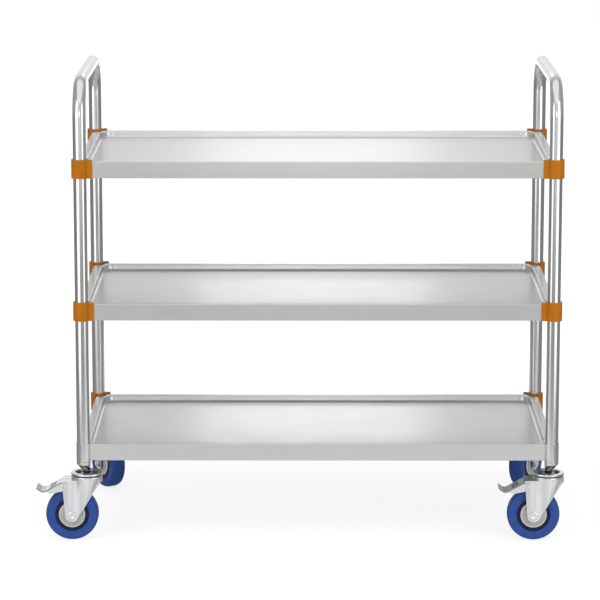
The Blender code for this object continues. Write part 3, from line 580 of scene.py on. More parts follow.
def softened(mesh, reach, segments=2):
    """Rounds a mesh's sharp edges, then weights its normals so that flat faces stay flat."""
    item = object_from(mesh, mesh.name)
    if reach:
        bevel = item.modifiers.new("rounding", "BEVEL")
        bevel.width = reach
        bevel.segments = segments
        bevel.limit_method = "ANGLE"
        bevel.angle_limit = BEVEL_ANGLE
        bevel.use_clamp_overlap = True
    mesh = settled(item)
    mesh.shade_smooth()
    mesh.set_sharp_from_angle(angle=SHARP_ANGLE)
    item = object_from(mesh, mesh.name)
    normals = item.modifiers.new("flat_faces", "WEIGHTED_NORMAL")
    normals.keep_sharp = True
    return settled(item)


def turned_ring(name, section, steps=FILLET_STEPS):
    """A hollow turned piece from its closed section."""
    return softened(lathe(name, rounded(section, steps=steps, ring=True), ring=True), 0)


def lay_grain(mesh, upright=False):
    """Lays UV in metres over a mesh by the way that each face looks, with U along the grain."""
    layer = mesh.uv_layers.get("UVMap") or mesh.uv_layers.new(name="UVMap")
    for polygon in mesh.polygons:
        normal = polygon.normal
        flat = max(range(3), key=lambda axis: abs(normal[axis]))
        for index in polygon.loop_indices:
            point = mesh.vertices[mesh.loops[index].vertex_index].co
            if upright and flat < 2:
                layer.data[index].uv = (point.z, point.x - abs(point.y))
            else:
                layer.data[index].uv = ((point.z, point.y), (point.x, point.z), (point.x, point.y))[flat]
    return mesh


def mark_faces(mesh, name, chosen):
    """Stores a mask on a mesh: one on each face that is chosen, otherwise zero."""
    mask = mesh.attributes.new(name, "FLOAT", "FACE")
    for polygon in mesh.polygons:
        mask.data[polygon.index].value = float(chosen(polygon))


def frame_body(node):
    """The body that a node of the frame rides on."""
    for body, members in frame["record"]["behaviour"]["bodies"].items():
        if node in members:
            return body
    raise ValueError(f"no body holds {node}")


def add_piece(node, mesh, material, body, matrix=None):
    """Puts one finished piece in place of a node of the frame."""
    copy = mesh.copy()
    copy.name = node + "_finish"
    if matrix is not None:
        copy.transform(matrix)
    copy.materials.clear()
    copy.materials.append(material)
    item = object_from(copy, node + "_finish")
    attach(item, body)
    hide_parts(node)


# Node trees
def add_node(tree, kind, inputs=None, **settings):
    """A node with its settings made and its inputs either set or linked."""
    node = tree.nodes.new(kind)
    for name, value in settings.items():
        setattr(node, name, value)
    for name, value in (inputs or {}).items():
        if isinstance(value, bpy.types.NodeSocket):
            tree.links.new(value, node.inputs[name])
        else:
            node.inputs[name].default_value = value
    return node


def maths(tree, operation, first, second=0.0, clamp=False):
    """The result of one sum on two values or sockets."""
    node = add_node(tree, "ShaderNodeMath", {0: first, 1: second}, operation=operation, use_clamp=clamp)
    return node.outputs[0]


def spread(tree, value, low, high, out_low, out_high):
    """Maps a value from one range to another, held within it."""
    inputs = {"Value": value, "From Min": low, "From Max": high, "To Min": out_low, "To Max": out_high}
    return add_node(tree, "ShaderNodeMapRange", inputs, clamp=True).outputs["Result"]


def noise(tree, vector, scale, detail):
    """A soft noise pattern about a half."""
    inputs = {"Vector": vector, "Scale": scale, "Detail": detail}
    return add_node(tree, "ShaderNodeTexNoise", inputs).outputs[0]


def mask_of(tree, name):
    """A mask that a mesh carries, zero where it has none."""
    return add_node(tree, "ShaderNodeAttribute", attribute_name=name).outputs["Fac"]


def mixed(tree, factor, first, second):
    """A colour between two others."""
    node = add_node(tree, "ShaderNodeMix", {0: factor}, data_type="RGBA")
    for name, value in ((6, first), (7, second)):
        if isinstance(value, bpy.types.NodeSocket):
            tree.links.new(value, node.inputs[name])
        else:
            node.inputs[name].default_value = (*value, 1.0)
    return node.outputs[2]


def new_group(name, kind, inputs, outputs):
    """An empty node group with named sockets, each given as (name, socket type, default)."""
    tree = bpy.data.node_groups.new(name, kind)
    for socket_name, socket_type, default in inputs:
        socket = tree.interface.new_socket(socket_name, in_out="INPUT", socket_type=socket_type)
        if default is not None:
            socket.default_value = default
    for socket_name, socket_type in outputs:
        tree.interface.new_socket(socket_name, in_out="OUTPUT", socket_type=socket_type)
    entry = tree.nodes.new("NodeGroupInput")
    leave = tree.nodes.new("NodeGroupOutput")
    return tree, entry.outputs, leave.inputs


def grain_group():
    """Long fine streaks that run along the first axis of the pattern."""
    known = bpy.data.node_groups.get("directional_grain")
    if known:
        return known
    inputs = [
        ("Vector", "NodeSocketVector", None),
        ("Along", "NodeSocketFloat", 8.0),
        ("Across", "NodeSocketFloat", 900.0),
    ]
    outputs = [("Streak", "NodeSocketFloat"), ("Hairline", "NodeSocketFloat")]
    tree, given, result = new_group("directional_grain", "ShaderNodeTree", inputs, outputs)
    for name, ratio in (("Streak", 1.0), ("Hairline", 4.0)):
        along = maths(tree, "MULTIPLY", given["Along"], ratio)
        across = maths(tree, "MULTIPLY", given["Across"], ratio)
        stretch = add_node(tree, "ShaderNodeCombineXYZ", {"X": along, "Y": across, "Z": along})
        place_inputs = {0: given["Vector"], 1: stretch.outputs[0]}
        place = add_node(tree, "ShaderNodeVectorMath", place_inputs, operation="MULTIPLY")
        pattern = noise(tree, place.outputs[0], 1.0, 3.0)
        tree.links.new(spread(tree, pattern, 0.28, 0.72, 0.0, 1.0), result[name])
    return tree


def cloud_group():
    """Soft patches and small specks, such as handled metal or uneven plastic shows."""
    known = bpy.data.node_groups.get("soft_clouds")
    if known:
        return known
    inputs = [("Vector", "NodeSocketVector", None), ("Scale", "NodeSocketFloat", 12.0)]
    outputs = [("Cloud", "NodeSocketFloat"), ("Speck", "NodeSocketFloat")]
    tree, given, result = new_group("soft_clouds", "ShaderNodeTree", inputs, outputs)
    cloud = noise(tree, given["Vector"], given["Scale"], 3.0)
    tree.links.new(spread(tree, cloud, 0.30, 0.70, 0.0, 1.0), result["Cloud"])
    speck = noise(tree, given["Vector"], maths(tree, "MULTIPLY", given["Scale"], 14.0), 2.0)
    tree.links.new(spread(tree, speck, 0.56, 0.74, 0.0, 1.0), result["Speck"])
    return tree


def edge_group():
    """A mask of the edges, which the finishes lighten: partly wear that hands and knocks rub bright, partly
    painted highlight where edges catch the light.
    """
    known = bpy.data.node_groups.get("rubbed_edges")
    if known:
        return known
    inputs = [("Radius", "NodeSocketFloat", 0.001), ("Strength", "NodeSocketFloat", 1.0)]
    tree, given, result = new_group("rubbed_edges", "ShaderNodeTree", inputs, [("Mask", "NodeSocketFloat")])
    soft = add_node(tree, "ShaderNodeBevel", {"Radius": given["Radius"]}, samples=4)
    true = add_node(tree, "ShaderNodeNewGeometry")
    normals = {0: soft.outputs[0], 1: true.outputs["Normal"]}
    agreement = add_node(tree, "ShaderNodeVectorMath", normals, operation="DOT_PRODUCT").outputs["Value"]
    bent = maths(tree, "SUBTRACT", 1.0, agreement)
    mask = maths(tree, "MULTIPLY", spread(tree, bent, 0.01, 0.12, 0.0, 1.0), given["Strength"], clamp=True)
    tree.links.new(mask, result["Mask"])
    return tree


def placed_group(tree, group, inputs):
    """The outputs of a node group placed in a material with its own values."""
    return add_node(tree, "ShaderNodeGroup", inputs, node_tree=group).outputs


def new_material(name):
    """A material with its node tree, its shader and the outputs of its texture coordinates."""
    material = bpy.data.materials.new(name)
    material.use_nodes = True
    tree = material.node_tree
    shader = tree.nodes["Principled BSDF"]
    places = add_node(tree, "ShaderNodeTexCoord")
    return material, tree, shader, places.outputs


def bumped(tree, shader, height, distance):
    """Lets a height raise the surface by up to a distance in metres."""
    bump = add_node(tree, "ShaderNodeBump", {"Height": height, "Distance": distance})
    tree.links.new(bump.outputs[0], shader.inputs["Normal"])


def shade(colour_value, factor):
    """A colour made darker or lighter by a factor."""
    return tuple(channel * factor for channel in colour_value)


def steel(name, base, roughness, along, across, anisotropy, rotation, wave, relief):
    """Bare steel with a grain along U, slow waves in the sheet and soft handling marks."""
    known = bpy.data.materials.get(name)
    if known:
        return known
    material, tree, shader, places = new_material(name)
    grain = placed_group(tree, grain_group(), {"Vector": places["UV"], "Along": along, "Across": across})
    marks = placed_group(tree, cloud_group(), {"Vector": places["Object"], "Scale": 14.0})
    waves = placed_group(tree, cloud_group(), {"Vector": places["Object"], "Scale": 5.0})
    streaks = mixed(tree, grain["Streak"], shade(base, 0.95), shade(base, 1.03))
    handled = mixed(tree, maths(tree, "MULTIPLY", marks["Cloud"], 0.35), streaks, shade(base, 0.97))
    tree.links.new(handled, shader.inputs["Base Color"])
    rough = maths(tree, "ADD", spread(tree, grain["Streak"], 0.0, 1.0, -0.03, 0.04), roughness)
    rough = maths(tree, "ADD", rough, spread(tree, marks["Cloud"], 0.0, 1.0, -0.015, 0.02))
    tree.links.new(rough, shader.inputs["Roughness"])
    shader.inputs["Metallic"].default_value = 1.0
    shader.inputs["Anisotropic"].default_value = anisotropy
    shader.inputs["Anisotropic Rotation"].default_value = rotation
    tangent = add_node(tree, "ShaderNodeTangent", direction_type="UV_MAP", uv_map="UVMap")
    tree.links.new(tangent.outputs[0], shader.inputs["Tangent"])
    fine = maths(tree, "MULTIPLY", maths(tree, "ADD", grain["Streak"], grain["Hairline"]), relief)
    height = maths(tree, "ADD", fine, maths(tree, "MULTIPLY", waves["Cloud"], wave))
    bumped(tree, shader, height, 0.001)
    return material


def deck_finish(colours):
    return steel(
        "brushed_deck_steel",
        colours.deck_steel,
        roughness=0.33,
        along=5.0,
        across=1100.0,
        anisotropy=0.65,
        rotation=0.25,
        wave=0.12,
        relief=0.006,
    )


def tube_finish(colours):
    return steel(
        "polished_tube_steel",
        colours.tube_steel,
        roughness=0.16,
        along=3.0,
        across=700.0,
        anisotropy=0.6,
        rotation=0.0,
        wave=0.06,
        relief=0.002,
    )


def zinc_finish(colours):
    """Bright zinc plate: cool and slightly cloudy, with soft dark streaks of painted reflection, and painted
    shade in the recesses and on cut edges.
    """
    known = bpy.data.materials.get("bright_zinc_plate")
    if known:
        return known
    material, tree, shader, places = new_material("bright_zinc_plate")
    clouds = placed_group(tree, cloud_group(), {"Vector": places["Object"], "Scale": 55.0})
    grain = placed_group(tree, grain_group(), {"Vector": places["Object"], "Along": 60.0, "Across": 400.0})
    edges = placed_group(tree, edge_group(), {"Radius": 0.0008, "Strength": 0.5})
    reflection_streaks = placed_group(tree, grain_group(), {"Vector": places["UV"], "Along": 4.0, "Across": 60.0})
    base = mixed(tree, clouds["Cloud"], shade(colours.zinc, 0.93), colours.zinc)
    # Painted reflection: soft dark vertical streaks stand in for the dark room that the zinc mirrors.
    streaks = spread(tree, reflection_streaks["Streak"], 0.1, 0.8, 0.0, 0.9)
    base = mixed(tree, streaks, base, shade(colours.zinc, 0.70))
    # Edges lightened: partly wear, partly painted highlight.
    base = mixed(tree, edges["Mask"], base, shade(colours.zinc, 1.1))
    # Painted shade: the colour darkens unevenly towards the dark recess colour, down into the swivel heads'
    # dishes and on the pedals' slot walls and plate edges.
    shade_variation = spread(tree, clouds["Cloud"], 0.0, 1.0, 0.75, 0.95)
    recess_shade = maths(tree, "MULTIPLY", mask_of(tree, "recess"), shade_variation)
    tree.links.new(mixed(tree, recess_shade, base, colours.recess_shade), shader.inputs["Base Color"])
    scuffs = maths(tree, "MULTIPLY", mask_of(tree, "rubbed"), 0.3)
    rough = maths(tree, "ADD", spread(tree, clouds["Cloud"], 0.0, 1.0, 0.15, 0.22), scuffs)
    rough = maths(tree, "ADD", rough, maths(tree, "MULTIPLY", clouds["Speck"], 0.05))
    tree.links.new(rough, shader.inputs["Roughness"])
    shader.inputs["Metallic"].default_value = 1.0
    height = maths(tree, "ADD", clouds["Cloud"], maths(tree, "MULTIPLY", grain["Streak"], 0.2))
    bumped(tree, shader, height, 0.00006)
    return material


def orange_finish(colours):
    """Moulded orange plastic with uneven colour, faint flow lines, and edges lightened partly as wear, partly
    as painted highlight.
    """
    known = bpy.data.materials.get("moulded_orange_plastic")
    if known:
        return known
    material, tree, shader, places = new_material("moulded_orange_plastic")
    clouds = placed_group(tree, cloud_group(), {"Vector": places["Object"], "Scale": 45.0})
    flow = placed_group(tree, grain_group(), {"Vector": places["Object"], "Along": 30.0, "Across": 160.0})
    edges = placed_group(tree, edge_group(), {"Radius": 0.0009, "Strength": 0.35})
    patches = maths(tree, "MULTIPLY", clouds["Cloud"], 0.55)
    base = mixed(tree, patches, colours.orange, colours.orange_shade)
    base = mixed(tree, maths(tree, "MULTIPLY", flow["Streak"], 0.10), base, shade(colours.orange, 1.2))
    # Edges lightened towards the pale orange: partly wear, partly painted highlight.
    base = mixed(tree, edges["Mask"], base, colours.orange_edge_wear_and_highlight)
    shader.inputs["Specular IOR Level"].default_value = 0.15
    tree.links.new(base, shader.inputs["Base Color"])
    tree.links.new(spread(tree, clouds["Cloud"], 0.0, 1.0, 0.34, 0.46), shader.inputs["Roughness"])
    height = maths(tree, "ADD", maths(tree, "MULTIPLY", clouds["Speck"], 0.6), flow["Streak"])
    bumped(tree, shader, height, 0.00005)
    return material


def moulded(name, base, wear_and_highlight, roughness, scale, relief, gloss):
    """Rubber or plastic with a fine cast texture, soft patches, and edges lightened a little, partly as wear
    and partly as painted highlight.
    """
    known = bpy.data.materials.get(name)
    if known:
        return known
    material, tree, shader, places = new_material(name)
    clouds = placed_group(tree, cloud_group(), {"Vector": places["Object"], "Scale": scale})
    edges = placed_group(tree, edge_group(), {"Radius": 0.0007, "Strength": 0.5})
    patched = mixed(tree, maths(tree, "MULTIPLY", clouds["Cloud"], 0.5), base, shade(base, 0.80))
    # Painted highlight: the marked faces of the guards' rim bead take the pale colour as a thin line of
    # light; on the pedals the same mask only roughens the zinc.
    patched = mixed(tree, mask_of(tree, "rubbed"), patched, wear_and_highlight)
    marked = mixed(tree, maths(tree, "MULTIPLY", clouds["Speck"], 0.12), patched, wear_and_highlight)
    # Edges lightened: partly wear, partly painted highlight.
    tree.links.new(mixed(tree, edges["Mask"], marked, wear_and_highlight), shader.inputs["Base Color"])
    rough = spread(tree, clouds["Cloud"], 0.0, 1.0, roughness - 0.06, roughness + 0.06)
    tree.links.new(rough, shader.inputs["Roughness"])
    shader.inputs["Specular IOR Level"].default_value = gloss
    bumped(tree, shader, maths(tree, "ADD", clouds["Speck"], clouds["Cloud"]), relief)
    return material


def tyre_finish(colours):
    base, wear_and_highlight = colours.tyre_blue, shade(colours.tyre_blue, 1.4)
    return moulded("blue_tyre_rubber", base, wear_and_highlight, roughness=0.55, scale=60.0, relief=0.00006, gloss=0.18)


def navy_finish(colours):
    base, wear_and_highlight = colours.wheel_navy, shade(colours.wheel_navy, 1.8)
    return moulded("navy_wheel_plastic", base, wear_and_highlight, roughness=0.50, scale=70.0, relief=0.00004, gloss=0.16)


def guard_finish(colours):
    base, wear_and_highlight = colours.guard_grey, colours.guard_rim_highlight
    return moulded("grey_guard_plastic", base, wear_and_highlight, roughness=0.48, scale=60.0, relief=0.00004, gloss=0.4)


def seal_finish(colours):
    base, wear_and_highlight = colours.seal_black, shade(colours.seal_black, 2.5)
    return moulded("black_seal_rubber", base, wear_and_highlight, roughness=0.58, scale=80.0, relief=0.00005, gloss=0.2)


# Geometry node trees
def set_tree_inputs(modifier, values):
    """Sets a modifier's inputs by the identifiers of their named sockets."""
    for socket in modifier.node_group.interface.items_tree:
        if socket.item_type == "SOCKET" and socket.in_out == "INPUT" and socket.name in values:
            modifier[socket.identifier] = values[socket.name]


def end_tree(tree, geometry, finish, leave):
    """Ends a tree with its instances made real and its material set."""
    real = add_node(tree, "GeometryNodeRealizeInstances", {"Geometry": geometry})
    covered = add_node(tree, "GeometryNodeSetMaterial", {"Geometry": real.outputs[0], "Material": finish})
    tree.links.new(covered.outputs[0], leave)


def hoop_tree():
    """Sweeps a round tube along the edges of a mesh, with its corners bent to a radius."""
    known = bpy.data.node_groups.get("bent_tube")
    if known:
        return known
    inputs = [
        ("Path", "NodeSocketGeometry", None),
        ("Bend Radius", "NodeSocketFloat", HOOP_BEND),
        ("Tube Radius", "NodeSocketFloat", TUBE_RADIUS),
        ("Bend Steps", "NodeSocketInt", BEND_STEPS),
        ("Round Sides", "NodeSocketInt", TUBE_SIDES),
        ("Finish", "NodeSocketMaterial", None),
    ]
    tree, given, result = new_group("bent_tube", "GeometryNodeTree", inputs, [("Tube", "NodeSocketGeometry")])
    path = add_node(tree, "GeometryNodeMeshToCurve", {"Mesh": given["Path"]})
    bend_inputs = {"Curve": path.outputs[0], "Count": given["Bend Steps"], "Radius": given["Bend Radius"]}
    bent = add_node(tree, "GeometryNodeFilletCurve", bend_inputs, mode="POLY")
    bent.inputs["Limit Radius"].default_value = True
    round_inputs = {"Resolution": given["Round Sides"], "Radius": given["Tube Radius"]}
    ring = add_node(tree, "GeometryNodeCurvePrimitiveCircle", round_inputs, mode="RADIUS")
    captured = []
    for curve in (bent, ring):
        parameter = add_node(tree, "GeometryNodeSplineParameter")
        capture = add_node(tree, "GeometryNodeCaptureAttribute", {"Geometry": curve.outputs[0]})
        capture.capture_items.new("FLOAT", "Run")
        tree.links.new(parameter.outputs["Length"], capture.inputs["Run"])
        captured.append(capture)
    along, around = captured
    sweep_inputs = {"Curve": along.outputs[0], "Profile Curve": around.outputs[0]}
    sweep = add_node(tree, "GeometryNodeCurveToMesh", sweep_inputs)
    runs = {"X": along.outputs["Run"], "Y": around.outputs["Run"]}
    pair = add_node(tree, "ShaderNodeCombineXYZ", runs)
    kind = "GeometryNodeStoreNamedAttribute"
    store_inputs = {"Geometry": sweep.outputs[0], "Name": "UVMap", "Value": pair.outputs[0]}
    store = add_node(tree, kind, store_inputs, data_type="FLOAT2", domain="CORNER")
    smooth = add_node(tree, "GeometryNodeSetShadeSmooth", {"Geometry": store.outputs[0]})
    end_tree(tree, smooth.outputs[0], given["Finish"], result["Tube"])
    return tree


def slot_tree():
    """Cuts a ring of straight slots through the piece that it is put on."""
    known = bpy.data.node_groups.get("ring_of_slots")
    if known:
        return known
    inputs = [
        ("Piece", "NodeSocketGeometry", None),
        ("Slots", "NodeSocketInt", DISH_SLOTS),
        ("Slot Width", "NodeSocketFloat", DISH_SLOT_WIDTH),
        ("Inner Radius", "NodeSocketFloat", DISH_SLOT_INNER),
        ("Outer Radius", "NodeSocketFloat", DISH_SLOT_OUTER),
        ("Height", "NodeSocketFloat", DISH_Z),
        ("Finish", "NodeSocketMaterial", None),
    ]
    outputs = [("Piece", "NodeSocketGeometry")]
    tree, given, result = new_group("ring_of_slots", "GeometryNodeTree", inputs, outputs)
    both = maths(tree, "ADD", given["Inner Radius"], given["Outer Radius"])
    middle = maths(tree, "MULTIPLY", both, 0.5)
    reach = maths(tree, "SUBTRACT", given["Outer Radius"], given["Inner Radius"])
    points = add_node(tree, "GeometryNodeMeshCircle", {"Vertices": given["Slots"], "Radius": middle})
    size = add_node(tree, "ShaderNodeCombineXYZ", {"X": reach, "Y": given["Slot Width"], "Z": DISH_SLOT_CUT})
    cutter = add_node(tree, "GeometryNodeMeshCube", {"Size": size.outputs[0]})
    index = add_node(tree, "GeometryNodeInputIndex")
    share = maths(tree, "DIVIDE", index.outputs[0], given["Slots"])
    turn = add_node(tree, "ShaderNodeCombineXYZ", {"Z": maths(tree, "MULTIPLY", share, math.tau)}).outputs[0]
    ring_inputs = {"Points": points.outputs[0], "Instance": cutter.outputs[0], "Rotation": turn}
    cutters = add_node(tree, "GeometryNodeInstanceOnPoints", ring_inputs)
    real = add_node(tree, "GeometryNodeRealizeInstances", {"Geometry": cutters.outputs[0]})
    half_step = maths(tree, "DIVIDE", math.pi, given["Slots"])
    twist = add_node(tree, "ShaderNodeCombineXYZ", {"Z": half_step}).outputs[0]
    lift = add_node(tree, "ShaderNodeCombineXYZ", {"Z": given["Height"]}).outputs[0]
    shift_inputs = {"Geometry": real.outputs[0], "Translation": lift, "Rotation": twist}
    shifted = add_node(tree, "GeometryNodeTransform", shift_inputs)
    cut = add_node(tree, "GeometryNodeMeshBoolean", operation="DIFFERENCE", solver="EXACT")
    tree.links.new(given["Piece"], cut.inputs["Mesh 1"])
    tree.links.new(shifted.outputs[0], cut.inputs["Mesh 2"])
    end_tree(tree, cut.outputs[0], given["Finish"], result["Piece"])
    return tree


def grown(mesh, tree, values):
    """The plain mesh that a geometry node tree makes of a mesh."""
    item = object_from(mesh, mesh.name)
    modifier = item.modifiers.new(tree.name, "NODES")
    modifier.node_group = tree
    set_tree_inputs(modifier, values)
    return settled(item)


# End hoops
def build_end_hoops(sizes, colours):
    """Tube swept up one leg, over the rail and down the other, with its wall inwards."""
    finish = tube_finish(colours)
    corners = [(-LEG_Y, TUBE_FOOT_Z), (-LEG_Y, RAIL_Z), (LEG_Y, RAIL_Z), (LEG_Y, TUBE_FOOT_Z)]
    values = {"Bend Radius": sizes.hoop_bend, "Tube Radius": sizes.tube_radius, "Finish": finish}
    for side, x in (("left", LEFT_HOOP_X), ("right", RIGHT_HOOP_X)):
        path = bpy.data.meshes.new(side + "_hoop")
        path.from_pydata([(x, y, z) for y, z in corners], [(0, 1), (1, 2), (2, 3)], [])
        mesh = thickened(grown(path, hoop_tree(), values), sizes.tube_wall, even=False)
        mesh.set_sharp_from_angle(angle=SHARP_ANGLE)
        add_piece(side + "_end_hoop", mesh, finish, "frame")


# Decks
def deck_section(sizes):
    """The pressed sheet's outer side from floor to lip, as (distance in from the apron, height)."""
    ledge, depth = sizes.ledge_width, sizes.recess_depth
    return rounded(
        [
            (ledge + FLOOR_MARGIN, -depth, 0),
            (ledge + RECESS_DRAFT, -depth, RECESS_FILLET),
            (ledge, 0, LEDGE_INNER_FOLD),
            (0, 0, LEDGE_OUTER_FOLD),
            (0, -APRON_HEIGHT, LIP_FOLD),
            (LIP_WIDTH, -APRON_HEIGHT, 0),
        ],
        steps=FOLD_STEPS,
    )


def deck_ring(sizes, inset, height):
    """A rounded rectangle of the deck at one distance in from the apron."""
    corner = sizes.recess_corner + sizes.ledge_width - inset
    if inset < sizes.ledge_width / 2 or height < -APRON_HEIGHT / 2:
        corner = max(DECK_CORNER - inset, sizes.deck_sheet)
    x = DECK_HALF_LENGTH - inset - corner
    y = DECK_HALF_DEPTH - inset - corner
    ring = []
    for i, (side_x, side_y) in enumerate(((1, 1), (-1, 1), (-1, -1), (1, -1))):
        start = i * math.pi / 2
        ring += arc((side_x * x, side_y * y), corner, start, start + math.pi / 2, CORNER_STEPS)
    return [(px, py, height) for px, py in ring]


def deck_sheet(sizes):
    """One pressed deck about its middle, with its ledge at height zero."""
    rings = [deck_ring(sizes, inset, height) for inset, height in deck_section(sizes)]
    count = len(rings[0])
    faces = [tuple(range(count))]
    for level in range(len(rings) - 1):
        for i in range(count):
            j = (i + 1) % count
            inner, outer = level * count, (level + 1) * count
            faces.append((inner + i, outer + i, outer + j, inner + j))
    mesh = bpy.data.meshes.new("deck_sheet")
    mesh.from_pydata([point for ring in rings for point in ring], [], faces)
    return thickened(mesh, sizes.deck_sheet)


def build_decks(sizes, colours):
    """Decks with a round notch at each corner for the bracket or sleeve that holds the leg."""
    finish = deck_finish(colours)
    bracket = sizes.tube_radius + sizes.bracket_wall + 2 * GAP
    sleeve = sizes.tube_radius + SLEEVE_WALL + 2 * GAP
    for level in LEVELS:
        notches = []
        for corner, side_x, side_y in CORNERS:
            radius = sleeve if level == "bottom" and side_y < 0 else bracket
            place = (side_x * LEG_X, side_y * LEG_Y)
            notches.append(("DIFFERENCE", disc(corner, radius, -APRON_HEIGHT - OVERRUN, OVERRUN, place)))
        mesh = softened(joined(level + "_deck", deck_sheet(sizes), notches), 0)
        mesh = lay_grain(moved(mesh, (FRAME_X, 0, LEDGE_Z[level])))
        add_piece(level + "_deck", mesh, finish, "frame")


def build_stiffeners(sizes, colours):
    """Hat sections of folded sheet under the decks, with their folds rounded."""
    finish = deck_finish(colours)
    mouth, foot, sheet = CHANNEL_MOUTH, CHANNEL_FOOT, sizes.deck_sheet
    for level in LEVELS:
        low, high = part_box(level + "_deck_stiffener")
        edge, half_length, depth = (high.y - low.y) / 2, (high.x - low.x) / 2, high.z - low.z
        upper = [(edge, 0, 0), (mouth, 0, FOLD_OUTSIDE), (foot, sheet - depth, FOLD_INSIDE)]
        folds = [(foot + sheet, -depth, FOLD_OUTSIDE), (mouth + sheet, -sheet, FOLD_INSIDE)]
        under = [*folds, (edge, -sheet, 0)]
        outline = upper + [(-y, z, reach) for y, z, reach in reversed(upper)]
        outline += [(-y, z, reach) for y, z, reach in reversed(under)] + under
        mesh = side_prism("stiffener", rounded(outline, ring=True), half_length)
        mesh.transform(Matrix.Rotation(math.pi / 2, 4, "Z"))
        mesh = moved(mesh, ((low.x + high.x) / 2, 0, high.z))
        mesh = lay_grain(softened(mesh, 0))
        add_piece(level + "_deck_stiffener", mesh, finish, "frame")


# Brackets and sleeves
def bracket_mesh(sizes):
    """The front left bracket about its leg: ring, two flaps outside the aprons, lug under the ledge."""
    foot, stand, reach = -APRON_HEIGHT, BRACKET_STAND, BRACKET_REACH
    bore_radius = sizes.tube_radius + GAP
    ring = disc("ring", bore_radius + sizes.bracket_wall, foot, stand, sides=ROUND_SIDES)
    inner = -DECK_OVERHANG - GAP
    outer = inner - FLAP_THICKNESS
    front_flap = block("front_flap", (0, outer, foot), (reach, inner, stand))
    side_flap = block("side_flap", (outer, 0, foot), (inner, reach, stand))
    lug_edge = -DECK_OVERHANG + sizes.deck_sheet + GAP
    skew = math.asin(lug_edge / reach)
    rim = arc((0, 0), reach, skew, math.pi / 2 - skew, CORNER_STEPS)
    lug_low, lug_high = foot + sizes.deck_sheet + GAP, -sizes.deck_sheet - GAP
    lug = prism("lug", [(lug_edge, lug_edge), *rim], lug_low, lug_high)
    bore = disc("bore", bore_radius, foot - OVERRUN, stand + OVERRUN, sides=ROUND_SIDES)
    steps = [("UNION", front_flap), ("UNION", side_flap), ("UNION", lug), ("DIFFERENCE", bore)]
    return softened(joined("corner_bracket", ring, steps), sizes.bracket_round, segments=BRACKET_SEGMENTS)


def leg_place(side_x, side_y, height=0.0):
    return Matrix.Translation((FRAME_X + side_x * LEG_X, side_y * LEG_Y, height))


def build_brackets(sizes, colours):
    """One moulded bracket, turned to each leg at each deck but the front of the bottom one."""
    finish = orange_finish(colours)
    mesh = bracket_mesh(sizes)
    for level in LEVELS:
        for corner, side_x, side_y in CORNERS:
            if level == "bottom" and side_y < 0:
                continue
            turn = Matrix.Rotation(math.atan2(-side_y, -side_x) - math.pi / 4, 4, "Z")
            place = leg_place(side_x, side_y, LEDGE_Z[level]) @ turn
            add_piece(f"{level}_{corner}_bracket", mesh, finish, "frame", place)


def build_sleeves(sizes, colours):
    """Steel sleeves round the front legs at the bottom deck."""
    finish = tube_finish(colours)
    low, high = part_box("bottom_front_left_sleeve")
    inner = sizes.tube_radius + GAP
    section = ring_section(inner, inner + SLEEVE_WALL, low.z, high.z, SLEEVE_EDGE)
    mesh = turned_ring("corner_sleeve", section, steps=SLEEVE_STEPS)
    for corner, side_x, side_y in CORNERS[:2]:
        place = leg_place(side_x, side_y)
        add_piece(f"bottom_{corner}_sleeve", mesh, finish, "frame", place)


def build_sockets(sizes, colours):
    """Spigot, collar and a cone that leans inboard to the caster stem."""
    finish = tube_finish(colours)
    lean = LEG_X - CASTER_X
    profile = [
        (0, COLLAR_TOP_Z + SPIGOT_LENGTH, 0),
        (SPIGOT_RADIUS, COLLAR_TOP_Z + SPIGOT_LENGTH, SPIGOT_ROUND),
        (SPIGOT_RADIUS, COLLAR_TOP_Z, 0),
        (COLLAR_RADIUS, COLLAR_TOP_Z, COLLAR_ROUND),
        (COLLAR_RADIUS, COLLAR_FOOT_Z, CONE_ROUND),
        (SOCKET_TIP_RADIUS, SOCKET_TIP_Z, SOCKET_TIP_ROUND),
        (STEM_RADIUS, SOCKET_TIP_Z, 0),
        (0, SOCKET_TIP_Z, 0),
    ]
    mesh = lathe("leg_socket", rounded(profile))
    for vertex in mesh.vertices:
        share = (COLLAR_FOOT_Z - vertex.co.z) / (COLLAR_FOOT_Z - SOCKET_TIP_Z)
        vertex.co.x += lean * min(max(share, 0.0), 1.0)
    mesh = softened(mesh, 0)
    for corner, side_x, side_y in CORNERS:
        turn = Matrix.Rotation(0 if side_x < 0 else math.pi, 4, "Z")
        place = leg_place(side_x, side_y) @ turn
        add_piece(corner + "_leg_socket", mesh, finish, "frame", place)


# Casters
def stem_place(side_x, side_y):
    return Matrix.Translation((FRAME_X + side_x * CASTER_X, side_y * LEG_Y, 0))


def swivel_place(corner, side_x, side_y):
    return stem_place(side_x, side_y) @ Matrix.Rotation(SWIVEL_TURNS[corner], 4, "Z")


def wheel_place(corner, side_x, side_y):
    return swivel_place(corner, side_x, side_y) @ Matrix.Translation((-WHEEL_TRAIL, 0, AXLE_Z))


def pedal_place(corner, side_x, side_y):
    return swivel_place(corner, side_x, side_y) @ Matrix.Translation((PEDAL_PIN_X, 0, PEDAL_PIN_Z))


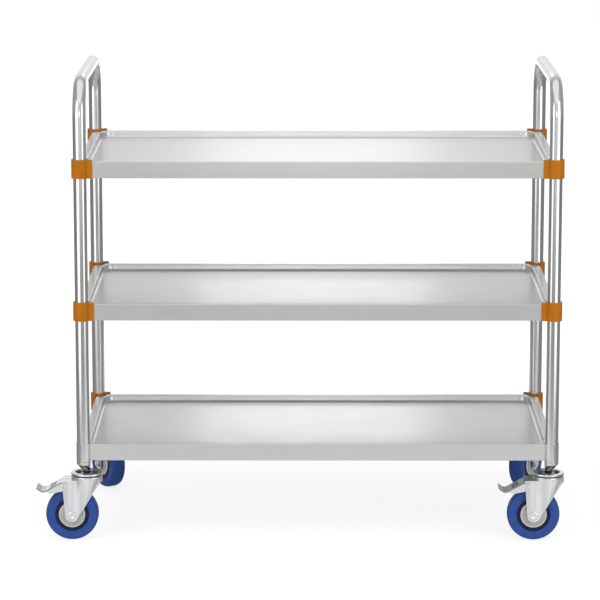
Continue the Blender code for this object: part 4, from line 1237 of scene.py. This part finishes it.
def build_swivel_heads(sizes, colours):
    """Stem, dished top with its ring of slots, and king pin."""
    finish = zinc_finish(colours)
    profile = [
        (0, SOCKET_TIP_Z + STEM_LENGTH_IN_SOCKET, 0),
        (STEM_RADIUS, SOCKET_TIP_Z + STEM_LENGTH_IN_SOCKET, 0),
        (STEM_RADIUS, DISH_Z, STEM_FILLET),
        (DISH_RADIUS, DISH_Z, DISH_FILLET),
        (DISH_RADIUS, HEAD_TOP_Z, DISH_RIM_ROUND),
        (HEAD_RADIUS, HEAD_TOP_Z, HEAD_ROUND),
        (HEAD_RADIUS, HEAD_UNDERSIDE_Z, HEAD_EDGE),
        (DISH_WALL_RADIUS, HEAD_UNDERSIDE_Z, HEAD_EDGE),
        (DISH_WALL_RADIUS, DISH_UNDERSIDE_Z, DISH_UNDERSIDE_ROUND),
        (KING_PIN_RADIUS, DISH_UNDERSIDE_Z, 0),
        (KING_PIN_RADIUS, FLANGE_TOP_Z, 0),
        (KING_PIN_RADIUS + KING_PIN_FLANGE, FLANGE_TOP_Z, FLANGE_EDGE),
        (KING_PIN_RADIUS + KING_PIN_FLANGE, FLANGE_FOOT_Z, FLANGE_EDGE),
        (0, FLANGE_FOOT_Z, 0),
    ]
    turned = lathe("caster_head", rounded(profile))
    values = {"Height": (DISH_Z + DISH_UNDERSIDE_Z) / 2, "Finish": finish}
    mesh = softened(grown(turned, slot_tree(), values), 0)
    # Painted shade: darkening that grows from the dish's rim down to its floor.
    recess = mesh.attributes.new("recess", "FLOAT", "POINT")
    for vertex in mesh.vertices:
        inside = math.hypot(vertex.co.x, vertex.co.y) < DISH_RADIUS + DISH_MARGIN
        depth = (HEAD_TOP_Z - vertex.co.z) / (HEAD_TOP_Z - DISH_Z)
        recess.data[vertex.index].value = min(max(depth, 0.0), 1.0) if inside else 0.0
    for corner, side_x, side_y in CORNERS:
        place = stem_place(side_x, side_y)
        add_piece(corner + "_caster_head", mesh, finish, "frame", place)


def build_seals(sizes, colours):
    """The rubber ring between each swivel head and its fork."""
    finish = seal_finish(colours)
    low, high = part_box("front_left_swivel_seal")
    section = ring_section(DISH_WALL_RADIUS + GAP, SEAL_RADIUS, low.z, high.z, SEAL_EDGE)
    mesh = turned_ring("swivel_seal", section)
    for corner, side_x, side_y in CORNERS:
        node = corner + "_swivel_seal"
        add_piece(node, mesh, finish, frame_body(node), stem_place(side_x, side_y))


def fork_skin():
    """Half of the pressed fork's outer side: crown, roof, flat cheek, and the cone between them."""
    points, faces = [], []

    def add(x, y, z):
        points.append((x, y, z))
        return len(points) - 1

    def strip(upper, lower):
        for i in range(len(upper) - 1):
            faces.append((upper[i], lower[i], lower[i + 1], upper[i + 1]))

    crease = math.pi - math.asin(FORK_HALF_WIDTH / CROWN_RADIUS)
    cone_sweep = crease - CROWN_FRONT_ANGLE
    skirt = [CROWN_FRONT_ANGLE * i / SKIRT_STEPS for i in range(SKIRT_STEPS)]
    cone = [CROWN_FRONT_ANGLE + cone_sweep * i / CONE_STEPS for i in range(CONE_STEPS)]
    rear = [crease + (math.pi - crease) * i / REAR_STEPS for i in range(REAR_STEPS + 1)]
    angles = skirt + cone + rear
    crown = rounded(
        [
            (KING_PIN_RADIUS + GAP, CROWN_Z, 0),
            (CROWN_RADIUS, CROWN_Z, CROWN_ROUND),
            (CROWN_RADIUS, ROOF_Z, 0),
        ],
        steps=FOLD_STEPS,
    )
    rows = [[add(r * math.cos(a), r * math.sin(a), z) for a in angles] for r, z in crown]
    for upper, lower in zip(rows, rows[1:]):
        strip(upper, lower)
    crown_foot = rows[-1]
    first_cone, first_rear = len(skirt), len(skirt) + len(cone)
    skirt_top = crown_foot[: first_cone + 1]
    skirt_foot = [add(points[i][0], points[i][1], ROOF_Z - CROWN_SKIRT) for i in skirt_top]
    strip(skirt_top, skirt_foot)

    axle = (-WHEEL_TRAIL, AXLE_Z)
    cheek_end = arc(axle, CHEEK_END_RADIUS, -math.pi, CHEEK_TANGENT_ANGLE, CHEEK_STEPS)
    end = [add(x, FORK_HALF_WIDTH, z) for x, z in cheek_end]
    apex = end[-1]
    cone_rim = [skirt_foot[-1], *crown_foot[first_cone : first_rear + 1]]
    faces.append((cone_rim[0], apex, cone_rim[2], cone_rim[1]))
    for i in range(2, len(cone_rim) - 1):
        faces.append((cone_rim[i], apex, cone_rim[i + 1]))

    fold = (FORK_HALF_WIDTH - SHOULDER_RADIUS, ROOF_Z - SHOULDER_RADIUS)
    shoulder = arc(fold, SHOULDER_RADIUS, math.pi / 2, 0, SHOULDER_STEPS)
    bend = [add(CHEEK_REAR_X, y, z) for y, z in shoulder]
    roof_middle = add(CHEEK_REAR_X, 0, ROOF_Z)
    corner = crown_foot[first_rear]
    faces.append((*crown_foot[first_rear:][::-1], bend[0], roof_middle))
    for upper, lower in zip(bend, bend[1:]):
        faces.append((corner, lower, upper))
    faces.append((corner, *end[::-1], bend[-1]))
    mesh = bpy.data.meshes.new("fork_half")
    mesh.from_pydata(points, [], faces)
    return mesh


def fork_mesh(sizes):
    """The whole fork: both halves joined, facing outwards, with the sheet's thickness inwards."""
    item = object_from(fork_skin(), "fork")
    mirror = item.modifiers.new("other_side", "MIRROR")
    mirror.use_axis = (False, True, False)
    mirror.merge_threshold = WELD
    mesh = welded(settled(item))
    work = bmesh.new()
    work.from_mesh(mesh)
    bmesh.ops.recalc_face_normals(work, faces=work.faces)
    crown = Vector((0, 0, CROWN_Z))
    crown_face = min(work.faces, key=lambda face: (face.calc_center_median() - crown).length)
    if crown_face.normal.z < 0:
        bmesh.ops.reverse_faces(work, faces=work.faces)
    work.to_mesh(mesh)
    work.free()
    return lay_grain(softened(thickened(mesh, sizes.fork_sheet), FORK_EDGE), upright=True)


def build_forks(sizes, colours):
    finish = zinc_finish(colours)
    mesh = fork_mesh(sizes)
    for corner, side_x, side_y in CORNERS:
        place = swivel_place(corner, side_x, side_y)
        add_piece(corner + "_fork", mesh, finish, corner + "_swivel", place)


def tyre_mesh(sizes):
    """A solid tyre with flat sides and a rounded tread."""
    half = [
        (RIM_RADIUS + GAP, RIM_SIDE, TYRE_BORE_EDGE),
        (sizes.wheel_radius - TYRE_SHOULDER, sizes.tyre_half_width, TYRE_SHOULDER_ROUND),
        (sizes.wheel_radius, TREAD_HALF_WIDTH, TREAD_ROUND),
    ]
    return along_y(turned_ring("tyre", both_sides(half)))


def centre_mesh():
    """The wheel centre: hub barrel, thin web and rim."""
    half = [
        (AXLE_RADIUS + GAP, HUB_HALF_LENGTH, 0),
        (HUB_RADIUS, HUB_HALF_LENGTH, CENTRE_EDGE),
        (HUB_RADIUS, WEB_HALF_WIDTH, CENTRE_EDGE),
        (RIM_INSIDE, WEB_HALF_WIDTH, CENTRE_EDGE),
        (RIM_INSIDE, RIM_SIDE, CENTRE_EDGE),
        (RIM_RADIUS, RIM_SIDE, CENTRE_EDGE),
    ]
    return along_y(turned_ring("wheel_centre", both_sides(half)))


def guard_mesh():
    """A dished disc with a raised bead at its rim, from the hub barrel out to the rim."""
    low, inner = RIM_SIDE + GAP, HUB_RADIUS + GUARD_SHEET / 2
    section = [
        (inner, low + GUARD_DISH + GUARD_SHEET, GUARD_EDGE),
        (RIM_INSIDE - BEAD_FOOT, low + GUARD_SHEET, BEAD_FOOT_ROUND),
        (RIM_INSIDE + BEAD_CREST, low + GUARD_SHEET + BEAD_HEIGHT, BEAD_CREST_ROUND),
        (RIM_INSIDE + GUARD_OVERLAP, low, GUARD_EDGE),
        (RIM_INSIDE, low, GUARD_SEAT_EDGE),
        (inner, low + GUARD_DISH, GUARD_EDGE),
    ]
    mesh = turned_ring("thread_guard", section)
    # Painted highlight: the rim bead's faces are marked to take the pale rim colour.
    highlight_from = RIM_INSIDE - BEAD_HIGHLIGHT
    mark_faces(mesh, "rubbed", lambda face: math.hypot(face.center.x, face.center.y) > highlight_from)
    return along_y(mesh)


def build_wheels(sizes, colours):
    """Tyre, wheel centre and two guards at each corner, the inner guard turned about."""
    guard, guard_plastic = guard_mesh(), guard_finish(colours)
    pieces = (
        ("tyre", tyre_mesh(sizes), tyre_finish(colours), "blue_rubber", 0),
        ("wheel_centre", centre_mesh(), navy_finish(colours), "navy_plastic", 0),
        ("outer_thread_guard", guard, guard_plastic, "grey_plastic", 0),
        ("inner_thread_guard", guard, guard_plastic, "grey_plastic", math.pi),
    )
    for corner, side_x, side_y in CORNERS:
        for name, mesh, finish, slot, turn in pieces:
            place = wheel_place(corner, side_x, side_y) @ Matrix.Rotation(turn, 4, "Z")
            add_piece(f"{corner}_{name}", mesh, finish, corner + "_wheel", place)


def axle_mesh():
    """A bolt with a round dimpled head at the outer side and a nut at the other."""
    seat = FORK_HALF_WIDTH + GAP
    head = seat + AXLE_HEAD_HEIGHT
    tail = -seat - NUT_HEIGHT - AXLE_HEAD_HEIGHT / 2
    section = [
        (0, head - AXLE_DIMPLE_DEPTH, 0),
        (AXLE_DIMPLE_RADIUS, head - AXLE_DIMPLE_DEPTH, AXLE_DIMPLE_FILLET),
        (AXLE_DIMPLE_MOUTH, head, AXLE_DIMPLE_ROUND),
        (AXLE_CROWN_RADIUS, head, AXLE_CROWN_ROUND),
        (AXLE_STEP_RADIUS, head - AXLE_STEP, AXLE_STEP_FILLET),
        (AXLE_HEAD_RADIUS, head - AXLE_STEP, AXLE_HEAD_ROUND),
        (AXLE_HEAD_RADIUS, seat, AXLE_SEAT_EDGE),
        (AXLE_RADIUS, seat, 0),
        (AXLE_RADIUS, tail, AXLE_END_ROUND),
        (0, tail, 0),
    ]
    bolt = lathe("axle", rounded(section), sides=SMALL_SIDES)
    nut = softened(disc("nut", NUT_RADIUS, -seat - NUT_HEIGHT, -seat, sides=NUT_SIDES), NUT_EDGE)
    return along_y(softened(joined("axle", bolt, [("UNION", nut)]), 0))


def pin_mesh():
    """The round pin that a brake pedal hangs on."""
    end = FORK_HALF_WIDTH + PIN_STAND
    section = [(0, end, 0), (PIN_RADIUS, end, PIN_ROUND), (PIN_RADIUS, -end, PIN_ROUND), (0, -end, 0)]
    return along_y(softened(lathe("pedal_pin", rounded(section), sides=SMALL_SIDES), 0))


def build_axles(sizes, colours):
    """The axle bolts of all four wheels and the pins of the two brake pedals."""
    finish = zinc_finish(colours)
    axle, pin = axle_mesh(), pin_mesh()
    for corner, side_x, side_y in CORNERS:
        place = wheel_place(corner, side_x, side_y)
        add_piece(corner + "_axle", axle, finish, corner + "_swivel", place)
        if side_y < 0:
            place = pedal_place(corner, side_x, side_y)
            add_piece(corner + "_pedal_pin", pin, finish, corner + "_swivel", place)


def plate_end():
    """Where the pedal's flat plate ends below the knee, in X and Z."""
    knee_x, knee_z = PEDAL_KNEE
    end_x = knee_x - PEDAL_PLATE_LENGTH * math.cos(PEDAL_PLATE_ANGLE)
    return end_x, knee_z - PEDAL_PLATE_LENGTH * math.sin(PEDAL_PLATE_ANGLE)


def pedal_line():
    """The pedal's upper side in X and Z, from the ear over the knee and down the plate to the tip."""
    down = PEDAL_PLATE_ANGLE
    end_x, end_z = plate_end()
    centre = (end_x - PEDAL_CURL_RADIUS * math.sin(down), end_z + PEDAL_CURL_RADIUS * math.cos(down))
    start = down - math.pi / 2
    curl = arc(centre, PEDAL_CURL_RADIUS, start, start - PEDAL_CURL_SWEEP, CURL_STEPS)
    rise = PEDAL_CURL_SWEEP - down
    tip_x = curl[-1][0] - PEDAL_TIP_LENGTH * math.cos(rise)
    tip_z = curl[-1][1] + PEDAL_TIP_LENGTH * math.sin(rise)
    corners = [(0, PEDAL_EAR_RADIUS, 0), (*PEDAL_KNEE, PEDAL_KNEE_ROUND), (end_x, end_z, 0)]
    return rounded(corners, steps=KNEE_STEPS)[:-1] + curl + [(tip_x, tip_z)]


def offset_line(line, distance):
    """A line beside another, at the same distance all along; positive is to the left of its run."""
    shifted = []
    for i, point in enumerate(line):
        here = Vector(point)
        before = Vector(line[max(i - 1, 0)])
        after = Vector(line[min(i + 1, len(line) - 1)])
        runs = [run.normalized() for run in (here - before, after - here) if run.length > 0]
        normals = [Vector((-run.y, run.x)) for run in runs]
        middle = sum(normals, Vector((0, 0))).normalized()
        shifted.append(tuple(here + middle * distance / middle.dot(normals[0])))
    return shifted


def pedal_flange(sheet, side_y):
    """The cheek at one side of the pedal, from the ear round its pin to the toe."""
    ear = arc((0, 0), PEDAL_EAR_RADIUS, -math.pi / 2, math.pi / 2, EAR_STEPS)
    knee_x, knee_z = PEDAL_KNEE
    end_x, end_z = plate_end()
    drop = sheet / 2
    knee_drop = 1.2 * drop
    under = [(0, PEDAL_EAR_RADIUS - drop), (knee_x, knee_z - knee_drop), (end_x, end_z - drop)]
    mesh = side_prism("pedal_flange", [*ear[:-1], *under, PEDAL_FRONT, PEDAL_TOE, PEDAL_HEEL], sheet / 2)
    return moved(mesh, (0, side_y * (PEDAL_HALF_WIDTH - sheet / 2 - GAP), 0))


def pedal_mesh(sheet):
    """The whole pedal about its pin: curled plate, two flanges and shoe, with three slots cut."""
    top = pedal_line()
    plate = side_prism("pedal_plate", [*top, *reversed(offset_line(top, sheet))], PEDAL_HALF_WIDTH)
    shoe_top = PEDAL_KNEE[1] - sheet / 2 - SHOE_REACH * math.sin(PEDAL_PLATE_ANGLE) / 2
    shoe_back = -SHOE_REACH - SHOE_THICKNESS / 2
    shoe_low = (shoe_back, -SHOE_HALF_WIDTH, -SHOE_DROP)
    shoe = block("shoe", shoe_low, (shoe_back + SHOE_THICKNESS, SHOE_HALF_WIDTH, shoe_top))
    steps = [("UNION", pedal_flange(sheet, side)) for side in (-1, 1)] + [("UNION", shoe)]
    start = shoe_back - sheet
    for out, width in PEDAL_SLOTS:
        low = (start - PEDAL_SLOT_LENGTH, out - width / 2, PEDAL_TOE[1])
        steps.append(("DIFFERENCE", block("slot", low, (start, out + width / 2, PEDAL_KNEE[1] + OVERRUN))))
    mesh = softened(joined("brake_pedal", plate, steps), PEDAL_EDGE)
    margin, fine_margin = 0.0005, 0.0001
    largest_slot_wall = 1.3 * PEDAL_SLOT_LENGTH * sheet

    def cut_edge(face):
        x, y = face.center.x, face.center.y
        along = start - PEDAL_SLOT_LENGTH - margin < x < start + margin
        across = any(abs(y - out) < width / 2 + margin for out, width in PEDAL_SLOTS)
        in_slot = along and across and face.area < largest_slot_wall
        return in_slot or abs(y) > PEDAL_HALF_WIDTH - fine_margin

    # Painted shadow: the slot walls and the plate's side edges are marked to be coloured dark.
    mark_faces(mesh, "recess", cut_edge)
    mark_faces(mesh, "rubbed", lambda face: face.center.x < PEDAL_FRONT[0] - 2 * margin)
    return mesh


def build_pedals(sizes, colours):
    finish = zinc_finish(colours)
    mesh = pedal_mesh(sizes.pedal_sheet)
    for corner, side_x, side_y in CORNERS[:2]:
        place = pedal_place(corner, side_x, side_y)
        add_piece(corner + "_brake_pedal", mesh, finish, corner + "_brake", place)


# Stage
def seen_share(tree, path):
    """One for what the camera sees itself or through glass."""
    return maths(tree, "ADD", path.outputs["Is Camera Ray"], path.outputs["Is Transmission Ray"], clamp=True)


def mirrored_floor(tree, across, aside):
    """How bright the steel sees the floor: a pale sheet round the trolley, lightest just in front of it
    and darkest under it, on a dull floor that grows lighter far behind and far ahead."""
    sheet = spread(tree, aside, *SHEET_ASIDE)
    for zone in (SHEET_FRONT, SHEET_BACK):
        sheet = maths(tree, "MULTIPLY", sheet, spread(tree, across, *zone))
    # Painted light and shadow in the glow that the steel mirrors: a brighter patch just in front of the
    # trolley, and the trolley's shadow under it.
    near = maths(tree, "MULTIPLY", spread(tree, across, *NEAR_FRONT), spread(tree, across, *NEAR_BACK))
    under = spread(tree, maths(tree, "ABSOLUTE", across), *UNDER)
    level = maths(tree, "SUBTRACT", maths(tree, "ADD", near, MIRRORED_SHEET), under)
    behind = maths(tree, "MULTIPLY", spread(tree, across, *FAR_BEHIND), spread(tree, aside, *FAR_ASIDE))
    rest = maths(tree, "ADD", behind, MIRRORED_FLOOR)
    level = maths(tree, "ADD", maths(tree, "MULTIPLY", sheet, level), rest)
    return maths(tree, "ADD", level, spread(tree, across, *FAR_AHEAD))


def build_floor(stage):
    """A floor that glows white to the camera away from the trolley, and in zones to the steel."""
    material, tree, shader, places = new_material("pale_studio_floor")
    shader.inputs["Roughness"].default_value = 0.9
    shader.inputs["Specular IOR Level"].default_value = 0.1
    apart = add_node(tree, "ShaderNodeSeparateXYZ", {0: places["Object"]})
    across = apart.outputs["Y"]
    aside = maths(tree, "ABSOLUTE", apart.outputs["X"])
    path = add_node(tree, "ShaderNodeLightPath")
    glossy = path.outputs["Is Glossy Ray"]
    seen = seen_share(tree, path)
    direct = maths(tree, "ADD", seen, glossy, clamp=True)
    floor_colour = mixed(tree, direct, stage.floor, shade(stage.floor, SEEN_FLOOR_SHADE))
    tree.links.new(floor_colour, shader.inputs["Base Color"])
    mirrored = maths(tree, "MULTIPLY", glossy, mirrored_floor(tree, across, aside))
    bright = maths(tree, "ADD", seen, mirrored, clamp=True)
    away = add_node(tree, "ShaderNodeVectorMath", {0: places["Object"]}, operation="LENGTH").outputs["Value"]
    behind = spread(tree, across, *GLOW_BEHIND, stage.floor_glow, 1.0)
    glow = maths(tree, "MAXIMUM", behind, spread(tree, away, *GLOW_AROUND, stage.floor_glow, 1.0))
    shader.inputs["Emission Color"].default_value = (1.0, 1.0, 1.0, 1.0)
    tree.links.new(maths(tree, "MULTIPLY", bright, glow), shader.inputs["Emission Strength"])
    mesh = bpy.data.meshes.new("studio_floor")
    corners = [(-1, -1), (1, -1), (1, 1), (-1, 1)]
    mesh.from_pydata([(x * FLOOR_REACH, y * FLOOR_REACH, 0) for x, y in corners], [], [(0, 1, 2, 3)])
    mesh.materials.append(material)
    floor = object_from(mesh, "studio_floor")
    floor.location = (FRAME_X, 0, -FLOOR_DROP)


def build_world(stage):
    """A world that is white to the camera; to the steel it is a grey room with two bright patches,
    one behind the trolley and one behind the camera."""
    world = bpy.data.worlds.new("studio_room")
    bpy.context.scene.world = world
    world.use_nodes = True
    tree = world.node_tree
    places = add_node(tree, "ShaderNodeTexCoord")
    path = add_node(tree, "ShaderNodeLightPath")
    room = spread(tree, path.outputs["Is Glossy Ray"], 0.0, 1.0, stage.room, stage.mirrored_room)
    patches = []
    for side, bright in ((1, stage.backdrop), (-1, stage.front_wall)):
        toward = (0.0, side * math.cos(PATCH_LIFT), math.sin(PATCH_LIFT))
        inputs = {0: places.outputs["Generated"], 1: toward}
        facing = add_node(tree, "ShaderNodeVectorMath", inputs, operation="DOT_PRODUCT").outputs["Value"]
        patches.append(spread(tree, facing, math.cos(PATCH_EDGE), math.cos(PATCH_CORE), room, bright))
    around = maths(tree, "MAXIMUM", *patches)
    strength_inputs = {0: seen_share(tree, path), 2: around, 3: stage.backdrop}
    strength = add_node(tree, "ShaderNodeMix", strength_inputs, data_type="FLOAT")
    back = tree.nodes["Background"]
    back.inputs["Color"].default_value = (1.0, 1.0, 1.0, 1.0)
    tree.links.new(strength.outputs[0], back.inputs["Strength"])


def add_lamp(name, place, target, width, height, power):
    """A soft box lamp at a place and towards a target, both from the trolley's middle."""
    light = bpy.data.lights.new(name, "AREA")
    light.shape = "RECTANGLE"
    light.size = width
    light.size_y = height
    light.energy = power
    lamp = object_from(light, name)
    lamp.location = Vector(place) + Vector((FRAME_X, 0, 0))
    lamp.rotation_euler = (Vector(target) - Vector(place)).to_track_quat("-Z", "Y").to_euler()
    lamp.visible_camera = False


def build_stage(stage):
    """The floor, the world, the lamps and the camera."""
    build_floor(stage)
    build_world(stage)
    for name, place, target, width, height, setting in LAMPS:
        add_lamp(name, place, target, width, height, getattr(stage, setting))
    camera = bpy.data.cameras.new("front_camera")
    camera.lens = stage.lens
    view = object_from(camera, "front_camera")
    view.location = (FRAME_X + stage.camera_aside, -stage.camera_distance, stage.camera_height)
    view.rotation_euler = (math.pi / 2 - stage.camera_tilt, 0, stage.camera_turn)
    scene = bpy.context.scene
    scene.camera = view
    scene.view_settings.view_transform = "Standard"


class PieceOperator:
    """What the piece operators share"""

    bl_options = {"REGISTER", "UNDO"}
    builder = None

    def execute(self, context):
        type(self).builder(context.scene.trolley_sizes, context.scene.trolley_colours)
        return {"FINISHED"}


class TROLLEY_OT_end_hoops(PieceOperator, bpy.types.Operator):
    """Bend the two end hoops from polished tube"""

    bl_idname = "trolley.end_hoops"
    bl_label = "End hoops"
    builder = staticmethod(build_end_hoops)


class TROLLEY_OT_decks(PieceOperator, bpy.types.Operator):
    """Press the three decks from brushed sheet"""

    bl_idname = "trolley.decks"
    bl_label = "Decks"
    builder = staticmethod(build_decks)


class TROLLEY_OT_stiffeners(PieceOperator, bpy.types.Operator):
    """Fold the stiffener under each deck"""

    bl_idname = "trolley.stiffeners"
    bl_label = "Stiffeners"
    builder = staticmethod(build_stiffeners)


class TROLLEY_OT_brackets(PieceOperator, bpy.types.Operator):
    """Mould the orange corner brackets"""

    bl_idname = "trolley.brackets"
    bl_label = "Corner brackets"
    builder = staticmethod(build_brackets)


class TROLLEY_OT_sleeves(PieceOperator, bpy.types.Operator):
    """Fit the steel sleeves at the front of the bottom deck"""

    bl_idname = "trolley.sleeves"
    bl_label = "Sleeves"
    builder = staticmethod(build_sleeves)


class TROLLEY_OT_sockets(PieceOperator, bpy.types.Operator):
    """Turn the leg sockets that hold the casters"""

    bl_idname = "trolley.sockets"
    bl_label = "Leg sockets"
    builder = staticmethod(build_sockets)


class TROLLEY_OT_swivel_heads(PieceOperator, bpy.types.Operator):
    """Press the slotted swivel heads of the casters"""

    bl_idname = "trolley.swivel_heads"
    bl_label = "Swivel heads"
    builder = staticmethod(build_swivel_heads)


class TROLLEY_OT_seals(PieceOperator, bpy.types.Operator):
    """Lay the rubber seals under the swivel heads"""

    bl_idname = "trolley.seals"
    bl_label = "Swivel seals"
    builder = staticmethod(build_seals)


class TROLLEY_OT_forks(PieceOperator, bpy.types.Operator):
    """Press the caster forks from sheet"""

    bl_idname = "trolley.forks"
    bl_label = "Forks"
    builder = staticmethod(build_forks)


class TROLLEY_OT_wheels(PieceOperator, bpy.types.Operator):
    """Turn the tyres, wheel centres and thread guards"""

    bl_idname = "trolley.wheels"
    bl_label = "Wheels"
    builder = staticmethod(build_wheels)


class TROLLEY_OT_axles(PieceOperator, bpy.types.Operator):
    """Turn the axle bolts and the pedal pins"""

    bl_idname = "trolley.axles"
    bl_label = "Axles and pins"
    builder = staticmethod(build_axles)


class TROLLEY_OT_pedals(PieceOperator, bpy.types.Operator):
    """Press the brake pedals of the front casters"""

    bl_idname = "trolley.pedals"
    bl_label = "Brake pedals"
    builder = staticmethod(build_pedals)


class TROLLEY_OT_stage(bpy.types.Operator):
    """Set up the floor, the light and the camera"""

    bl_idname = "trolley.stage"
    bl_label = "Stage"

    def execute(self, context):
        build_stage(context.scene.trolley_stage)
        return {"FINISHED"}


OPERATORS = (
    TROLLEY_OT_end_hoops,
    TROLLEY_OT_decks,
    TROLLEY_OT_stiffeners,
    TROLLEY_OT_brackets,
    TROLLEY_OT_sleeves,
    TROLLEY_OT_sockets,
    TROLLEY_OT_swivel_heads,
    TROLLEY_OT_seals,
    TROLLEY_OT_forks,
    TROLLEY_OT_wheels,
    TROLLEY_OT_axles,
    TROLLEY_OT_pedals,
    TROLLEY_OT_stage,
)
SETTINGS = (
    ("trolley_sizes", TrolleySizes),
    ("trolley_colours", TrolleyColours),
    ("trolley_stage", TrolleyStage),
)


class TROLLEY_PT_builder(bpy.types.Panel):
    """Lists the trolley's pieces, sizes, colours and stage"""

    bl_idname = "TROLLEY_PT_builder"
    bl_label = "Serving trolley"
    bl_space_type = "VIEW_3D"
    bl_region_type = "UI"
    bl_category = "Trolley"

    def draw(self, context):
        column = self.layout.column(align=True)
        for operator in OPERATORS:
            column.operator(operator.bl_idname)
        for name, group in SETTINGS:
            box = self.layout.box()
            for setting in group.__annotations__:
                box.prop(getattr(context.scene, name), setting)


CLASSES = (*(group for name, group in SETTINGS), *OPERATORS, TROLLEY_PT_builder)


def register():
    for item in CLASSES:
        bpy.utils.register_class(item)
    for name, group in SETTINGS:
        setattr(bpy.types.Scene, name, bpy.props.PointerProperty(type=group))


def unregister():
    for name, group in SETTINGS:
        delattr(bpy.types.Scene, name)
    for item in reversed(CLASSES):
        bpy.utils.unregister_class(item)


def main():
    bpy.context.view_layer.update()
    register()
    for operator in OPERATORS:
        family, name = operator.bl_idname.split(".")
        getattr(getattr(bpy.ops, family), name)()


if __name__ == "__main__":
    main()
